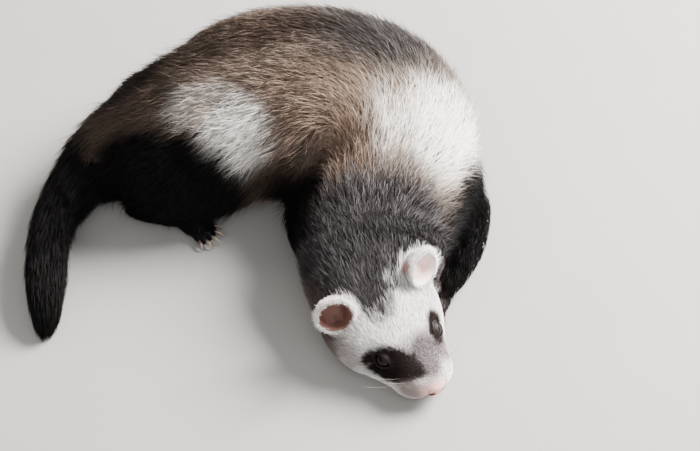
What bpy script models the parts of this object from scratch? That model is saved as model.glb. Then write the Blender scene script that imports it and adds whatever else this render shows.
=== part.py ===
"""A life-size ferret that lies curled on its belly with its chin on the floor.

Metres, +Z up, the floor at z = 0. The trunk is one smooth form that thin cuts part into neck, chest,
belly, rump, thighs and upper arms. The head, forearms, feet, ears, eyes and tail are made on their own
and set against it with a gap of GAP. The solids reach out to the tips of the fur. The tail's long hair
is a brush of locks on a thin core.
"""

import math

import bmesh
import bpy
import numpy as np
from mathutils import Matrix, Vector

MM = 0.001
GAP = 0.0003

# The body's path in plan, in millimetres: it leaves the nose along the head's heading.
NOSE = (42.7, -105.5)
HEADING_DEG = 33.0
HEAD_STRAIGHT = 56.0
PATH = (
    (11.2, -31.7),
    (18.0, -10.3),
    (25.9, 11.7),
    (19.9, 31.9),
    (7.4, 45.9),
    (-9.6, 53.3),
    (-31.9, 54.7),
    (-52.5, 49.9),
    (-72.9, 41.3),
    (-92.4, 37.0),
    (-112.0, 32.0),
    (-128.2, 29.2),
    (-143.0, 16.7),
    (-152.5, 1.5),
    (-156.4, -15.8),
    (-156.3, -34.3),
    (-155.3, -51.3),
    (-154.5, -64.1),
    (-154.9, -75.3),
)
# Added to every place in plan, so that the middle of the model is over the origin.
CENTRE = (47.37, -0.76)

# Sections of the body: distance behind the nose, half width, top and underside, in millimetres.
SECTIONS = (
    (0.0, 5.2, 15.0, 7.5),
    (3.0, 9.5, 18.0, 4.0),
    (8.0, 14.0, 21.0, 1.0),
    (15.0, 17.0, 24.0, -1.0),
    (24.0, 21.5, 28.5, -2.0),
    (34.0, 27.0, 34.0, -3.0),
    (45.0, 30.5, 38.5, -1.0),
    (55.0, 33.0, 43.0, 3.0),
    (68.0, 36.5, 50.0, 6.0),
    (82.0, 39.5, 57.0, 7.0),
    (104.0, 42.0, 66.0, 4.0),
    (128.0, 44.0, 76.0, -4.0),
    (149.0, 50.0, 80.0, -5.0),
    (168.0, 54.0, 82.0, -5.0),
    (208.0, 55.5, 83.0, -5.0),
    (230.0, 54.0, 82.0, -5.0),
    (252.0, 48.0, 78.0, -4.0),
    (272.0, 41.0, 73.0, -4.0),
    (292.0, 33.5, 64.0, -3.0),
    (308.0, 25.5, 53.0, -1.0),
    (328.0, 18.5, 38.0, -1.0),
    (346.0, 15.0, 30.0, -1.0),
    (364.0, 14.1, 28.0, -1.0),
    (382.0, 13.2, 26.5, -1.0),
    (399.0, 11.0, 22.5, -1.0),
    (412.0, 7.6, 16.0, -0.6),
    (422.0, 3.0, 7.5, 0.4),
)
HEAD_TAPER = 0.16
BODY_TAPER = 0.06
SECTION_POWER = 2.3

# Where cuts part the body, in millimetres behind the nose.
NECK_CUT = 70.0
CHEST_CUT = 104.0
BELLY_CUT = 178.0
RUMP_CUT = 248.0
TAIL_CUT = 324.0
TAIL_END = 422.0
# A sheet cut across the trunk reaches this far each side of the path, and no further round the curl.
CUT_REACH = 66.0


def hermite(knots, values, at):
    """A smooth curve through values at the knots, read at each place in at."""
    knots = np.asarray(knots, float)
    values = np.asarray(values, float).reshape(len(knots), -1)
    at = np.clip(np.atleast_1d(np.asarray(at, float)), knots[0], knots[-1])
    slopes = np.gradient(values, knots, axis=0)
    i = np.clip(np.searchsorted(knots, at, side="right") - 1, 0, len(knots) - 2)
    step = (knots[i + 1] - knots[i])[:, None]
    t = (at - knots[i])[:, None] / step
    return (
        (2 * t**3 - 3 * t**2 + 1) * values[i]
        + (t**3 - 2 * t**2 + t) * step * slopes[i]
        + (3 * t**2 - 2 * t**3) * values[i + 1]
        + (t**3 - t**2) * step * slopes[i + 1]
    )


def smoothstep(low, high, value):
    t = np.clip((value - low) / (high - low), 0.0, 1.0)
    return t * t * (3 - 2 * t)


def placed(point):
    """A place in plan or in space, in millimetres, as metres in the model's frame."""
    x, y, *rest = point
    return Vector((x + CENTRE[0], y + CENTRE[1], rest[0] if rest else 0.0)) * MM


HEADING = math.radians(HEADING_DEG)
FORWARD = np.array([math.sin(HEADING), -math.cos(HEADING)])
LEFT = np.array([-FORWARD[1], FORWARD[0]])
ROUTE = np.array([np.array(NOSE) - FORWARD * s for s in (0.0, HEAD_STRAIGHT / 2, HEAD_STRAIGHT)] + list(PATH))
ROUTE_KNOTS = np.concatenate([[0.0], np.cumsum(np.linalg.norm(np.diff(ROUTE, axis=0), axis=1))])
SECTION_TABLE = np.array(SECTIONS)


def route_at(s):
    """(middle, backward direction) of the path in plan, at s millimetres behind the nose."""
    here = hermite(ROUTE_KNOTS, ROUTE, s)[0]
    around = hermite(ROUTE_KNOTS, ROUTE, [s - 1.0, s + 1.0])
    back = around[1] - around[0]
    return here, back / np.linalg.norm(back)


def section(s, sides, grow=1.0, ahead=0.0):
    """One closed ring of the body's outline at s, in millimetres, starting at the top."""
    return outline(s, np.arange(sides) * 2 * math.pi / sides, grow, ahead)


def outline(s, angle, grow=1.0, ahead=0.0):
    """Points of the body's outline at s and at angles from the top, grow being their share of it."""
    middle, back = route_at(s)
    left = np.array([back[1], -back[0]])
    half, top, under = hermite(SECTION_TABLE[:, 0], SECTION_TABLE[:, 1:], s)[0]
    taper = HEAD_TAPER + (BODY_TAPER - HEAD_TAPER) * smoothstep(30.0, 90.0, s)
    up = np.sign(np.cos(angle)) * np.abs(np.cos(angle)) ** (2 / SECTION_POWER)
    out = np.sign(np.sin(angle)) * np.abs(np.sin(angle)) ** (2 / SECTION_POWER)
    out = out * half * (1 - taper * up) * grow
    z = (top + under) / 2 + up * (top - under) / 2 * grow
    plan = middle - back * ahead + out[:, None] * left
    return np.column_stack([plan, z])


def linked(name, mesh):
    obj = bpy.data.objects.new(name, mesh)
    bpy.context.scene.collection.objects.link(obj)
    return obj


def loft(name, rings):
    """A closed solid through rings of points in millimetres."""
    form = bmesh.new()
    rows = [[form.verts.new(placed(p)) for p in ring] for ring in rings]
    for a, b in zip(rows, rows[1:]):
        for i in range(len(a)):
            j = (i + 1) % len(a)
            form.faces.new((a[i], a[j], b[j], b[i]))
    form.faces.new(list(reversed(rows[0])))
    form.faces.new(rows[-1])
    bmesh.ops.recalc_face_normals(form, faces=form.faces)
    mesh = bpy.data.meshes.new(name)
    form.to_mesh(mesh)
    form.free()
    return linked(name, mesh)


def tube(name, points, radii, sides=20, steps=24, flat=1.0):
    """A round-ended limb through points in millimetres, flat being its height over its width."""
    points = np.asarray(points, float)
    knots = np.concatenate([[0.0], np.cumsum(np.linalg.norm(np.diff(points, axis=0), axis=1))])
    at = np.linspace(0, knots[-1], steps)
    middles = hermite(knots, points, at)
    sizes = hermite(knots, radii, at)[:, 0]
    along = np.gradient(middles, at, axis=0)
    along /= np.linalg.norm(along, axis=1)[:, None]
    side = np.cross(along, (0.0, 0.0, 1.0))
    side /= np.linalg.norm(side, axis=1)[:, None]
    up = np.cross(side, along)
    angle = np.arange(sides) * 2 * math.pi / sides
    ring = np.column_stack([np.cos(angle), np.sin(angle) * flat])
    rings = []
    for bulge in (0.9, 0.6):
        rings.append((0, -sizes[0] * bulge, math.sqrt(1 - bulge**2)))
    rings += [(i, 0.0, 1.0) for i in range(steps)]
    for bulge in (0.6, 0.9):
        rings.append((steps - 1, sizes[-1] * bulge, math.sqrt(1 - bulge**2)))
    return loft(
        name,
        [
            middles[i] + along[i] * shift + sizes[i] * grow * (ring[:, :1] * side[i] + ring[:, 1:] * up[i])
            for i, shift, grow in rings
        ],
    )


def ellipsoid(name, middle, radii, turn_deg=0.0, segments=18, rings=10):
    """An egg in millimetres, turned about the vertical."""
    mesh = bpy.data.meshes.new(name)
    form = bmesh.new()
    bmesh.ops.create_uvsphere(form, u_segments=segments, v_segments=rings, radius=1.0)
    turn = Matrix.Rotation(math.radians(turn_deg), 4, "Z")
    size = Matrix.Diagonal((*(r * MM for r in radii), 1.0))
    form.transform(Matrix.Translation(placed(middle)) @ turn @ size)
    form.to_mesh(mesh)
    form.free()
    return linked(name, mesh)


def settled(obj):
    """Gives the object its evaluated mesh in place of its modifiers."""
    bpy.context.view_layer.update()
    graph = bpy.context.evaluated_depsgraph_get()
    mesh = bpy.data.meshes.new_from_object(obj.evaluated_get(graph))
    mesh.transform(obj.matrix_world)
    obj.modifiers.clear()
    old = obj.data
    obj.data = mesh
    obj.matrix_world = Matrix.Identity(4)
    bpy.data.meshes.remove(old)
    return obj


def joined(name, objs):
    """One object from several, their surfaces left crossing for a remesh."""
    form = bmesh.new()
    for obj in objs:
        form.from_mesh(obj.data)
        bpy.data.objects.remove(obj)
    mesh = bpy.data.meshes.new(name)
    form.to_mesh(mesh)
    form.free()
    return linked(name, mesh)


def fused(obj, voxel, softening):
    """Melts crossing forms into one surface and rounds the creases between them."""
    melt = obj.modifiers.new("Melt", "REMESH")
    melt.mode = "VOXEL"
    melt.voxel_size = voxel
    soften = obj.modifiers.new("Soften", "SMOOTH")
    soften.factor = 0.5
    soften.iterations = softening
    return settled(obj)


def thinned(obj, triangles, coarse=None):
    """Brings the mesh down to about that many triangles, finest where it bends and coarse is low."""
    obj.data.calc_loop_triangles()
    fewer = obj.modifiers.new("Fewer", "DECIMATE")
    if coarse is not None:
        group = obj.vertex_groups.new(name="coarse")
        for i, weight in enumerate(coarse):
            group.add([i], float(weight), "REPLACE")
        fewer.vertex_group = group.name
        fewer.vertex_group_factor = 1.0
    fewer.ratio = min(1.0, triangles / len(obj.data.loop_triangles))
    fewer.use_collapse_triangulate = True
    return settled(obj)


def copied(obj, name):
    return linked(name, obj.data.copy())


def grown(obj, by=GAP):
    """A helper copy that stands out from the object by that much all round."""
    copy = copied(obj, obj.name + "_grown")
    swell = copy.modifiers.new("Swell", "DISPLACE")
    swell.strength = by
    swell.mid_level = 0.0
    return settled(copy)


def carved(obj, cutter, operation="DIFFERENCE"):
    """Cuts the object with another, which it uses up."""
    cut = obj.modifiers.new("Cut", "BOOLEAN")
    cut.operation = operation
    cut.object = cutter
    settled(obj)
    bpy.data.objects.remove(cutter)
    return obj


def united(core, pieces):
    """Joins closed pieces to the one they grow from, all at once, and uses them up."""
    group = bpy.data.collections.new("pieces")
    for piece in pieces:
        group.objects.link(piece)
    join = core.modifiers.new("Join", "BOOLEAN")
    join.operation = "UNION"
    join.operand_type = "COLLECTION"
    join.collection = group
    settled(core)
    for piece in pieces:
        bpy.data.objects.remove(piece)
    bpy.data.collections.remove(group)
    return core


def halved(obj, point, normal):
    """Keeps the side of a plane that normal points to, and closes the cut."""
    form = bmesh.new()
    form.from_mesh(obj.data)
    everything = form.verts[:] + form.edges[:] + form.faces[:]
    bmesh.ops.bisect_plane(
        form, geom=everything, dist=1e-7, plane_co=point, plane_no=normal, clear_inner=True
    )
    rim = [e for e in form.edges if e.is_boundary]
    bmesh.ops.holes_fill(form, edges=rim, sides=0)
    bmesh.ops.triangulate(form, faces=[f for f in form.faces if len(f.verts) > 4])
    bmesh.ops.recalc_face_normals(form, faces=form.faces)
    form.to_mesh(obj.data)
    form.free()
    return obj


def on_floor(obj):
    return halved(obj, (0, 0, 0), (0, 0, 1))


def islands(obj):
    """The mesh's separate surfaces, as lists of faces in a bmesh that the caller frees."""
    form = bmesh.new()
    form.from_mesh(obj.data)
    left_over = set(form.faces)
    found = []
    while left_over:
        group, edge = [], [left_over.pop()]
        while edge:
            face = edge.pop()
            group.append(face)
            near = {g for e in face.edges for g in e.link_faces} & left_over
            left_over -= near
            edge.extend(near)
        found.append(group)
    return form, found


def volume_of(faces):
    """The space inside a closed surface, times six."""
    fans = ((f.verts[0].co, a.co, b.co) for f in faces for a, b in zip(f.verts[1:], f.verts[2:]))
    return abs(sum(a.dot(b.cross(c)) for a, b, c in fans))


def largest_only(obj):
    """Drops every closed surface of the object but its largest."""
    form, groups = islands(obj)
    groups.sort(key=volume_of)
    scraps = [f for group in groups[:-1] for f in group]
    if scraps:
        bmesh.ops.delete(form, geom=scraps, context="FACES")
        form.to_mesh(obj.data)
    form.free()
    return obj


def mass_middle(faces):
    area = sum(f.calc_area() for f in faces)
    return sum((f.calc_center_median() * f.calc_area() for f in faces), Vector()) / area


def parted(whole, seeds):
    """Splits an object into its separate surfaces and names each by the seed nearest to its middle."""
    form, groups = islands(whole)
    groups = sorted(groups, key=volume_of)[-len(seeds):]
    for name, seed in seeds.items():
        group = min(groups, key=lambda faces: (mass_middle(faces) - seed).length)
        own = bmesh.new()
        verts = {}
        for face in group:
            for v in face.verts:
                if v not in verts:
                    verts[v] = own.verts.new(v.co)
        for face in group:
            own.faces.new([verts[v] for v in face.verts])
        mesh = bpy.data.meshes.new(name)
        own.to_mesh(mesh)
        own.free()
        linked(name, mesh)
    form.free()
    bpy.data.objects.remove(whole)


def thin_cut(s):
    """A sheet of GAP's thickness across the body at s, for parting it."""
    middle, back = route_at(s)
    mesh = bpy.data.meshes.new("cut")
    form = bmesh.new()
    bmesh.ops.create_cube(form, size=1.0)
    size = Matrix.Diagonal((GAP, 2 * CUT_REACH * MM, 240 * MM, 1.0))
    turn = Matrix.Rotation(math.atan2(back[1], back[0]), 4, "Z")
    form.transform(Matrix.Translation(placed(middle)) @ turn @ size)
    form.to_mesh(mesh)
    form.free()
    return linked("cut", mesh)


def before(obj, s):
    """Keeps what lies nearer to the nose than s, less half the gap."""
    middle, back = route_at(s)
    return halved(obj, placed(middle - back * GAP / MM / 2), (-back[0], -back[1], 0))


def behind(obj, s):
    """Keeps what lies further from the nose than s, less half the gap."""
    middle, back = route_at(s)
    return halved(obj, placed(middle + back * GAP / MM / 2), (back[0], back[1], 0))


# Trunk. Limb places are in millimetres in the same frame as the path.
SIDES = ("right", "left")
HAUNCH = {"right": (-86.0, 14.0, 30.0), "left": (-99.0, 58.0, 28.0)}
HAUNCH_RADII = {"right": (37.0, 24.0, 31.0), "left": (34.0, 22.0, 28.0)}
HAUNCH_TURN_DEG = 13.0
UPPER_ARM = {
    "right": ((-4.0, 18.0, 40.0), (-14.0, 10.0, 28.0), (-20.0, 1.0, 17.0)),
    "left": ((49.0, 14.0, 44.0), (56.0, 6.0, 30.0), (60.0, -3.0, 18.0)),
}
UPPER_ARM_RADII = (17.0, 15.0, 12.0)
# The barrel reaches past both of its end cuts.
BARREL_FROM = 52.0
BARREL_TO = 340.0
BARREL_STEP = 3.5
BARREL_SIDES = 40
TRUNK_VOXEL = 0.0022
TRUNK_SOFTENING = 9
TRUNK_TRIANGLES = 1800
# A place on the path inside each length of the trunk, and its height, by which the cut lengths are named.
INSIDE = {"fore": 120.0, "belly": 212.0, "rump": 285.0}
INSIDE_HEIGHT = 40.0

# A limb's node is what lies inside an egg set over it: middle and radii.
THIGH_REGION = {
    "right": ((-86.0, 8.0, 30.0), (41.0, 21.0, 36.0)),
    "left": ((-100.0, 66.0, 28.0), (38.0, 19.0, 33.0)),
}
ARM_REGION = {
    "right": ((-15.0, 5.0, 26.0), (17.0, 21.0, 26.0)),
    "left": ((60.0, 5.0, 28.0), (17.0, 22.0, 27.0)),
}
ARM_REGION_TURN_DEG = {"right": -30.0, "left": 20.0}


def make_trunk():
    """Neck to rump, with the thighs and upper arms that swell out of it."""
    steps = np.arange(BARREL_FROM, BARREL_TO, BARREL_STEP)
    pieces = [loft("barrel", [section(s, BARREL_SIDES) for s in steps])]
    for side in SIDES:
        pieces.append(ellipsoid("haunch", HAUNCH[side], HAUNCH_RADII[side], HAUNCH_TURN_DEG))
        pieces.append(tube("arm", UPPER_ARM[side], UPPER_ARM_RADII))
    trunk = fused(joined("trunk", pieces), TRUNK_VOXEL, TRUNK_SOFTENING)
    trunk = behind(before(on_floor(thinned(trunk, TRUNK_TRIANGLES)), TAIL_CUT), NECK_CUT)
    copied(trunk, "whole_trunk")
    for side in SIDES:
        regions = {
            "thigh_" + side: ellipsoid("region", *THIGH_REGION[side], HAUNCH_TURN_DEG),
            "upper_arm_" + side: ellipsoid("region", *ARM_REGION[side], ARM_REGION_TURN_DEG[side]),
        }
        for name, region in regions.items():
            limb = copied(trunk, name)
            carved(trunk, grown(region))
            largest_only(carved(limb, region, "INTERSECT"))
    for s in (BELLY_CUT, RUMP_CUT):
        carved(trunk, thin_cut(s))
    parted(trunk, {name: placed((*route_at(s)[0], INSIDE_HEIGHT)) for name, s in INSIDE.items()})
    fore = bpy.data.objects["fore"]
    before(copied(fore, "neck"), CHEST_CUT)
    behind(fore, CHEST_CUT).name = "chest"


# Tail: a core at half its girth, with rows of flat, tapered locks that lie back along it.
CORE_SHARE = 0.48
CORE_NARROWS_OVER = 20.0
CORE_SIDES = 12
CORE_PLACES = (318.0, 324.0, 330.0, 336.0, 342.0, 350.0, 364.0, 378.0, 392.0, 404.0, 409.0)
CORE_TIP_SHARE = 0.38
LOCK_ROWS = 9
FIRST_ROW = 326.0
LAST_ROW = 400.0
LOCKS_ROUND = 7
LOCK_LENGTH = 27.0
# A lock's width at its root, as a share of its row's spacing, and how much that grows towards the middle.
LOCK_WIDTH = 0.65
LOCK_WIDENS = 0.55
LOCK_THICKNESS = 1.9
LOCK_SINK = 0.16
LOCK_STATIONS = (0.0, 0.35, 0.72, 1.0)
TAIL_SEED = 7


def core_share(s):
    """The core's share of the tail's girth: all of it at the rump, and about half behind that."""
    return 1 + (CORE_SHARE - 1) * smoothstep(TAIL_CUT, TAIL_CUT + CORE_NARROWS_OVER, s)


def lock(s, angle, length, lift):
    """One lock from inside the core at s to a tip at lift times the tail's outline."""
    rings = []
    root = core_share(s) - LOCK_SINK
    for t in LOCK_STATIONS:
        here = s + length * t
        half = hermite(SECTION_TABLE[:, 0], SECTION_TABLE[:, 1], here)[0, 0]
        share = root + (lift - root) * t**0.75
        thick = LOCK_THICKNESS * (1 - 0.6 * t) / half
        wide = math.pi / LOCKS_ROUND * (LOCK_WIDTH + LOCK_WIDENS * t) * (1 - 0.96 * t**2.6)
        inner = outline(here, np.array([angle - wide, angle + wide]), share - thick)
        outer = outline(here, np.array([angle + wide * 0.6, angle - wide * 0.6]), share)
        rings.append(np.concatenate([inner, outer]))
    return loft("lock", rings)


def make_tail():
    """The tail's brush, which lies on the floor and comes to a point."""
    draw = np.random.default_rng(TAIL_SEED)
    shares = [core_share(s) for s in CORE_PLACES[:-1]] + [CORE_TIP_SHARE]
    core = loft("tail", [section(s, CORE_SIDES, share) for s, share in zip(CORE_PLACES, shares)])
    locks = []
    for row, s in enumerate(np.linspace(FIRST_ROW, LAST_ROW, LOCK_ROWS)):
        for i in range(LOCKS_ROUND):
            angle = (i + 0.5 * (row % 2) + draw.uniform(-0.12, 0.12)) * 2 * math.pi / LOCKS_ROUND
            length = min(LOCK_LENGTH * draw.uniform(0.88, 1.12), TAIL_END + 1.0 - s)
            locks.append(lock(s, angle, length, draw.uniform(0.97, 1.03)))
    largest_only(behind(on_floor(united(core, locks)), TAIL_CUT))


# Head. Places are in millimetres in the head's own frame: forward of the nose tip, to the animal's
# left, and up from the floor.
HEAD_SIDES = 88
HEAD_STEP = 0.85
HEAD_TRIANGLES = 1750
# The snout's rounded front: shares of the first section, and how far each lies ahead of it.
SNOUT = ((0.15, 2.0), (0.45, 1.8), (0.7, 1.4), (0.88, 0.8))
EYE_PLACE = (-24.7, 14.5, 18.6)
EYE_RADIUS = 4.4
GAZE = (0.45, 0.75, 0.5)
LID_HALF_LENGTH = 4.4
LID_HALF_HEIGHT = 2.9
LID_THICKNESS = 0.9
LID_SIDES = 14
# The cutter between the lids runs from inside the eye out past them.
LID_CUT = (2.0, 9.0)
NOSE_PAD = ((-1.2, 0.0, 10.6), (3.6, 5.6, 4.0))
NOSTRIL = ((1.3, 2.6, 10.8), (0.8, 3.7, 10.3), (-0.2, 4.9, 9.8))
NOSTRIL_RADII = (1.15, 0.95, 0.6)
# The line of the mouth: its height over the floor at distances behind the nose, and its groove.
MOUTH_LINE = ((-3.0, 5.4), (2.0, 4.9), (8.0, 4.4), (15.0, 5.0), (24.0, 8.0))
MOUTH_DEPTH = 1.3
MOUTH_WIDTH = 0.9
# Swellings and hollows of the face: place, reach, and height along the surface's normal.
FACE_FORMS = (
    ((-8.0, 9.5, 9.5), 7.0, 1.5),
    ((-8.0, 6.0, 2.0), 6.0, 0.8),
    ((-25.2, 11.0, 25.5), 7.0, 1.3),
    ((-24.2, 17.5, 18.8), 6.5, -2.4),
    ((-42.0, 25.0, 18.0), 12.0, 1.8),
    ((-15.0, 0.0, 24.0), 8.0, -1.0),
    ((-1.5, 0.0, 6.4), 1.5, -0.9),
)


def in_head(point):
    """A place in the head's frame, as one in the model's frame, both in millimetres."""
    point = np.asarray(point, float)
    plan = np.array(NOSE) + point[..., :1] * FORWARD + point[..., 1:2] * LEFT
    return np.concatenate([plan, point[..., 2:3]], axis=-1)


def toward(direction):
    """A direction in the head's frame as a unit vector in the model's frame."""
    out = np.concatenate([direction[0] * FORWARD + direction[1] * LEFT, [direction[2]]])
    return out / np.linalg.norm(out)


def mirrored(point, sign):
    return (point[0], point[1] * sign, point[2])


def eye_frame(sign):
    """(middle, gaze, along the lids, across the lids) of an eye, in the model's frame."""
    middle = in_head(mirrored(EYE_PLACE, sign))
    gaze = toward(mirrored(GAZE, sign))
    along = toward((1.0, 0.0, 0.0))
    along -= gaze * along.dot(gaze)
    along /= np.linalg.norm(along)
    return middle, gaze, along, np.cross(gaze, along)


def face_formed(points, normals):
    """Where each point of the head moves to: swellings, sockets and the line of the mouth."""
    shift = np.zeros(len(points))
    for sign in (-1, 1):
        for place, reach, height in FACE_FORMS:
            if place[1] == 0.0 and sign < 0:
                continue
            away = np.linalg.norm(points - in_head(mirrored(place, sign)), axis=1)
            shift += height * np.exp(-((away / reach) ** 2))
    moved = points + normals * shift[:, None]
    back = -((moved[:, :2] - np.array(NOSE)) @ FORWARD)
    line = np.array(MOUTH_LINE)
    away = moved[:, 2] - hermite(line[:, 0], line[:, 1], back)[:, 0]
    groove = MOUTH_DEPTH * np.exp(-((away / MOUTH_WIDTH) ** 2)) * (1 - smoothstep(18.0, 23.0, back))
    moved -= normals * groove[:, None]
    return moved


def make_head():
    """The head to behind the ears, with lids, sockets, nose pad, nostrils, lips and mouth line."""
    rings = [section(0.0, HEAD_SIDES, grow, ahead) for grow, ahead in SNOUT]
    rings += [section(s, HEAD_SIDES) for s in np.arange(0.0, NECK_CUT + 4.0, HEAD_STEP)]
    head = loft("head", rings)
    mesh = head.data
    shift = np.array([*CENTRE, 0.0])
    points = np.array([v.co for v in mesh.vertices]) / MM - shift
    normals = np.array([v.normal for v in mesh.vertices])
    moved = face_formed(points, normals)
    mesh.vertices.foreach_set("co", ((moved + shift) * MM).astype(np.float32).ravel())
    mesh.update()
    middle, radii = NOSE_PAD
    pad = ellipsoid("pad", in_head(middle), radii, HEADING_DEG - 90.0, segments=14, rings=8)
    back = -((moved[:, :2] - np.array(NOSE)) @ FORWARD)
    carved(thinned(head, HEAD_TRIANGLES, 0.05 + 0.45 * smoothstep(20.0, 44.0, back)), pad, "UNION")
    for sign in (-1, 1):
        carved(head, tube("nostril", in_head([mirrored(p, sign) for p in NOSTRIL]), NOSTRIL_RADII, 8, 5))
        middle = eye_frame(sign)[0]
        lids = ellipsoid("lids", middle, (EYE_RADIUS + LID_THICKNESS,) * 3, segments=14, rings=8)
        carved(head, lids, "UNION")
        carved(head, loft("opening", [lid_opening(sign, reach) for reach in LID_CUT]))
        carved(head, grown(make_eye(sign)))
        plug = make_ear_plug(sign)
        for name in ("head", "neck"):
            carved(bpy.data.objects[name], grown(plug))
        bpy.data.objects.remove(plug)
    largest_only(before(on_floor(head), NECK_CUT))


def lid_opening(sign, reach):
    """The almond between the lids, that far in front of the eye's middle."""
    middle, gaze, along, across = eye_frame(sign)
    angle = np.arange(LID_SIDES) * 2 * math.pi / LID_SIDES
    a = LID_HALF_LENGTH * np.cos(angle)
    b = LID_HALF_HEIGHT * np.sin(angle) * np.abs(np.sin(angle)) ** 0.35
    return middle + gaze * reach + a[:, None] * along + b[:, None] * across


def make_eye(sign):
    middle = in_head(mirrored(EYE_PLACE, sign))
    return ellipsoid("eye_left" if sign > 0 else "eye_right", middle, (EYE_RADIUS,) * 3, segments=14, rings=8)


# Ears.
# The neck bends to the left, so its fur would bury the left ear if that sat no higher.
EAR_PLACE = {-1: (-49.0, 27.5, 36.0), 1: (-47.5, 23.5, 38.0)}
EAR_OPENING = (0.78, 0.34, 0.5)
EAR_RADIUS = 11.0
EAR_DEPTH = 6.5
EAR_RIM_LIFT = 1.2
EAR_SIDES = 18
# Rings of the ear: shares of its radius, and heights along its opening in shares of its depth.
EAR_INSIDE = ((0.12, -1.0), (0.45, -0.86), (0.68, -0.5), (0.82, -0.12))
EAR_OUTSIDE = ((0.95, 0.06), (1.0, -0.2), (0.92, -0.75), (0.7, -1.35), (0.35, -1.75))


def ear_rings(sign, profile):
    """Rings of the ear round the line it opens along, drawn out a little towards its tip."""
    middle = in_head(mirrored(EAR_PLACE[sign], sign))
    opening = toward(mirrored(EAR_OPENING, sign))
    tip = np.array([0.0, 0.0, 1.0]) - toward((0.4, 0.0, 0.0)) * 0.5
    tip -= opening * tip.dot(opening)
    tip /= np.linalg.norm(tip)
    side = np.cross(opening, tip)
    angle = np.arange(EAR_SIDES) * 2 * math.pi / EAR_SIDES
    reach = EAR_RADIUS * (1 + 0.08 * np.cos(angle))
    spread = np.cos(angle)[:, None] * tip + np.sin(angle)[:, None] * side
    for share, height in profile:
        lift = height * EAR_DEPTH + EAR_RIM_LIFT * np.cos(angle) * share**2
        yield middle + spread * (reach * share)[:, None] + lift[:, None] * opening


def make_ear(sign):
    """A round cup with a thick furred rim, open forward, outward and up."""
    name = "ear_left" if sign > 0 else "ear_right"
    return loft(name, list(ear_rings(sign, EAR_INSIDE + EAR_OUTSIDE)))


def make_ear_plug(sign):
    """The ear without its hollow, which makes the pocket that the ear sits in."""
    return loft("plug", list(ear_rings(sign, EAR_OUTSIDE)))


# Legs and feet.
FOREARM = {
    "right": ((-22.0, 4.0, 16.0), (-24.0, -12.0, 12.0), (-19.0, -28.0, 9.0)),
    "left": ((63.5, -1.0, 16.0), (61.0, -22.0, 12.0), (53.0, -40.0, 9.0)),
}
FOREARM_RADII = (12.0, 10.0, 7.5)
SHANK = {
    "right": ((-66.0, 8.0, 18.0), (-91.0, 2.5, 14.0), (-113.0, 6.0, 9.0)),
    "left": ((-70.0, 85.0, 18.0), (-98.0, 86.0, 13.0), (-120.0, 78.0, 9.0)),
}
SHANK_RADII = (11.0, 11.5, 7.5)
# Feet: place of the middle of the palm on the floor and its heading. Sizes are half lengths.
FOREPAW = {"right": ((-12.5, -38.0), -65.0), "left": ((46.0, -50.0), -115.0)}
HIND_FOOT = {"right": ((-82.8, -2.8), -34.0), "left": ((-89.0, 92.0), 34.0)}
FOREPAW_SIZE = (8.0, 6.8, 4.6)
HIND_FOOT_SIZE = (9.0, 6.8, 4.6)
HEEL_REACH = 27.0
TOES = 5
TOE_SPREAD_DEG = 62.0
TOE_LENGTH = 7.5
TOE_RADIUS = 2.5
TOE_HEIGHTS = (4.4, 4.0, 2.5)
CLAW_LENGTH = 5.8
CLAW_RADIUS = 0.95
CLAW_TAPER = (1.0, 0.9, 0.6, 0.25)
CLAW_STATIONS = (0.0, 0.33, 0.66, 1.0)
CLAW_BEND_DEG = 80.0
# The claw's root is sunk this far into the toe and sits at this height. It arches up, then drops.
CLAW_SINK = 0.8
CLAW_ROOT_HEIGHT = 3.0
CLAW_ARCH = 0.9
CLAW_DROP = 2.3
FOOT_VOXEL = 0.0008
FOOT_SOFTENING = 4
FOOT_TRIANGLES = 250


def foot_point(foot, forward, left, up):
    """A place in a foot's own frame, forward and to the left of its middle, as one in the model's."""
    (x, y), heading = foot
    c, s = math.cos(math.radians(heading)), math.sin(math.radians(heading))
    return (x + forward * c - left * s, y + forward * s + left * c, up)


def claw(foot, reach, aside, turn_deg, length):
    """A curved, tapered claw from inside the toe's end down to near the floor."""
    turn = math.radians(turn_deg)
    bend = math.radians(CLAW_BEND_DEG)
    points = []
    for t in CLAW_STATIONS:
        along = reach - CLAW_SINK + length * math.sin(bend * t) / math.sin(bend)
        rise = CLAW_ROOT_HEIGHT + CLAW_ARCH * math.sin(math.pi * t) - CLAW_DROP * t * t
        points.append(foot_point(foot, along * math.cos(turn), aside + along * math.sin(turn), rise))
    return tube("claw", points, [CLAW_RADIUS * share for share in CLAW_TAPER], 5, 3)


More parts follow.
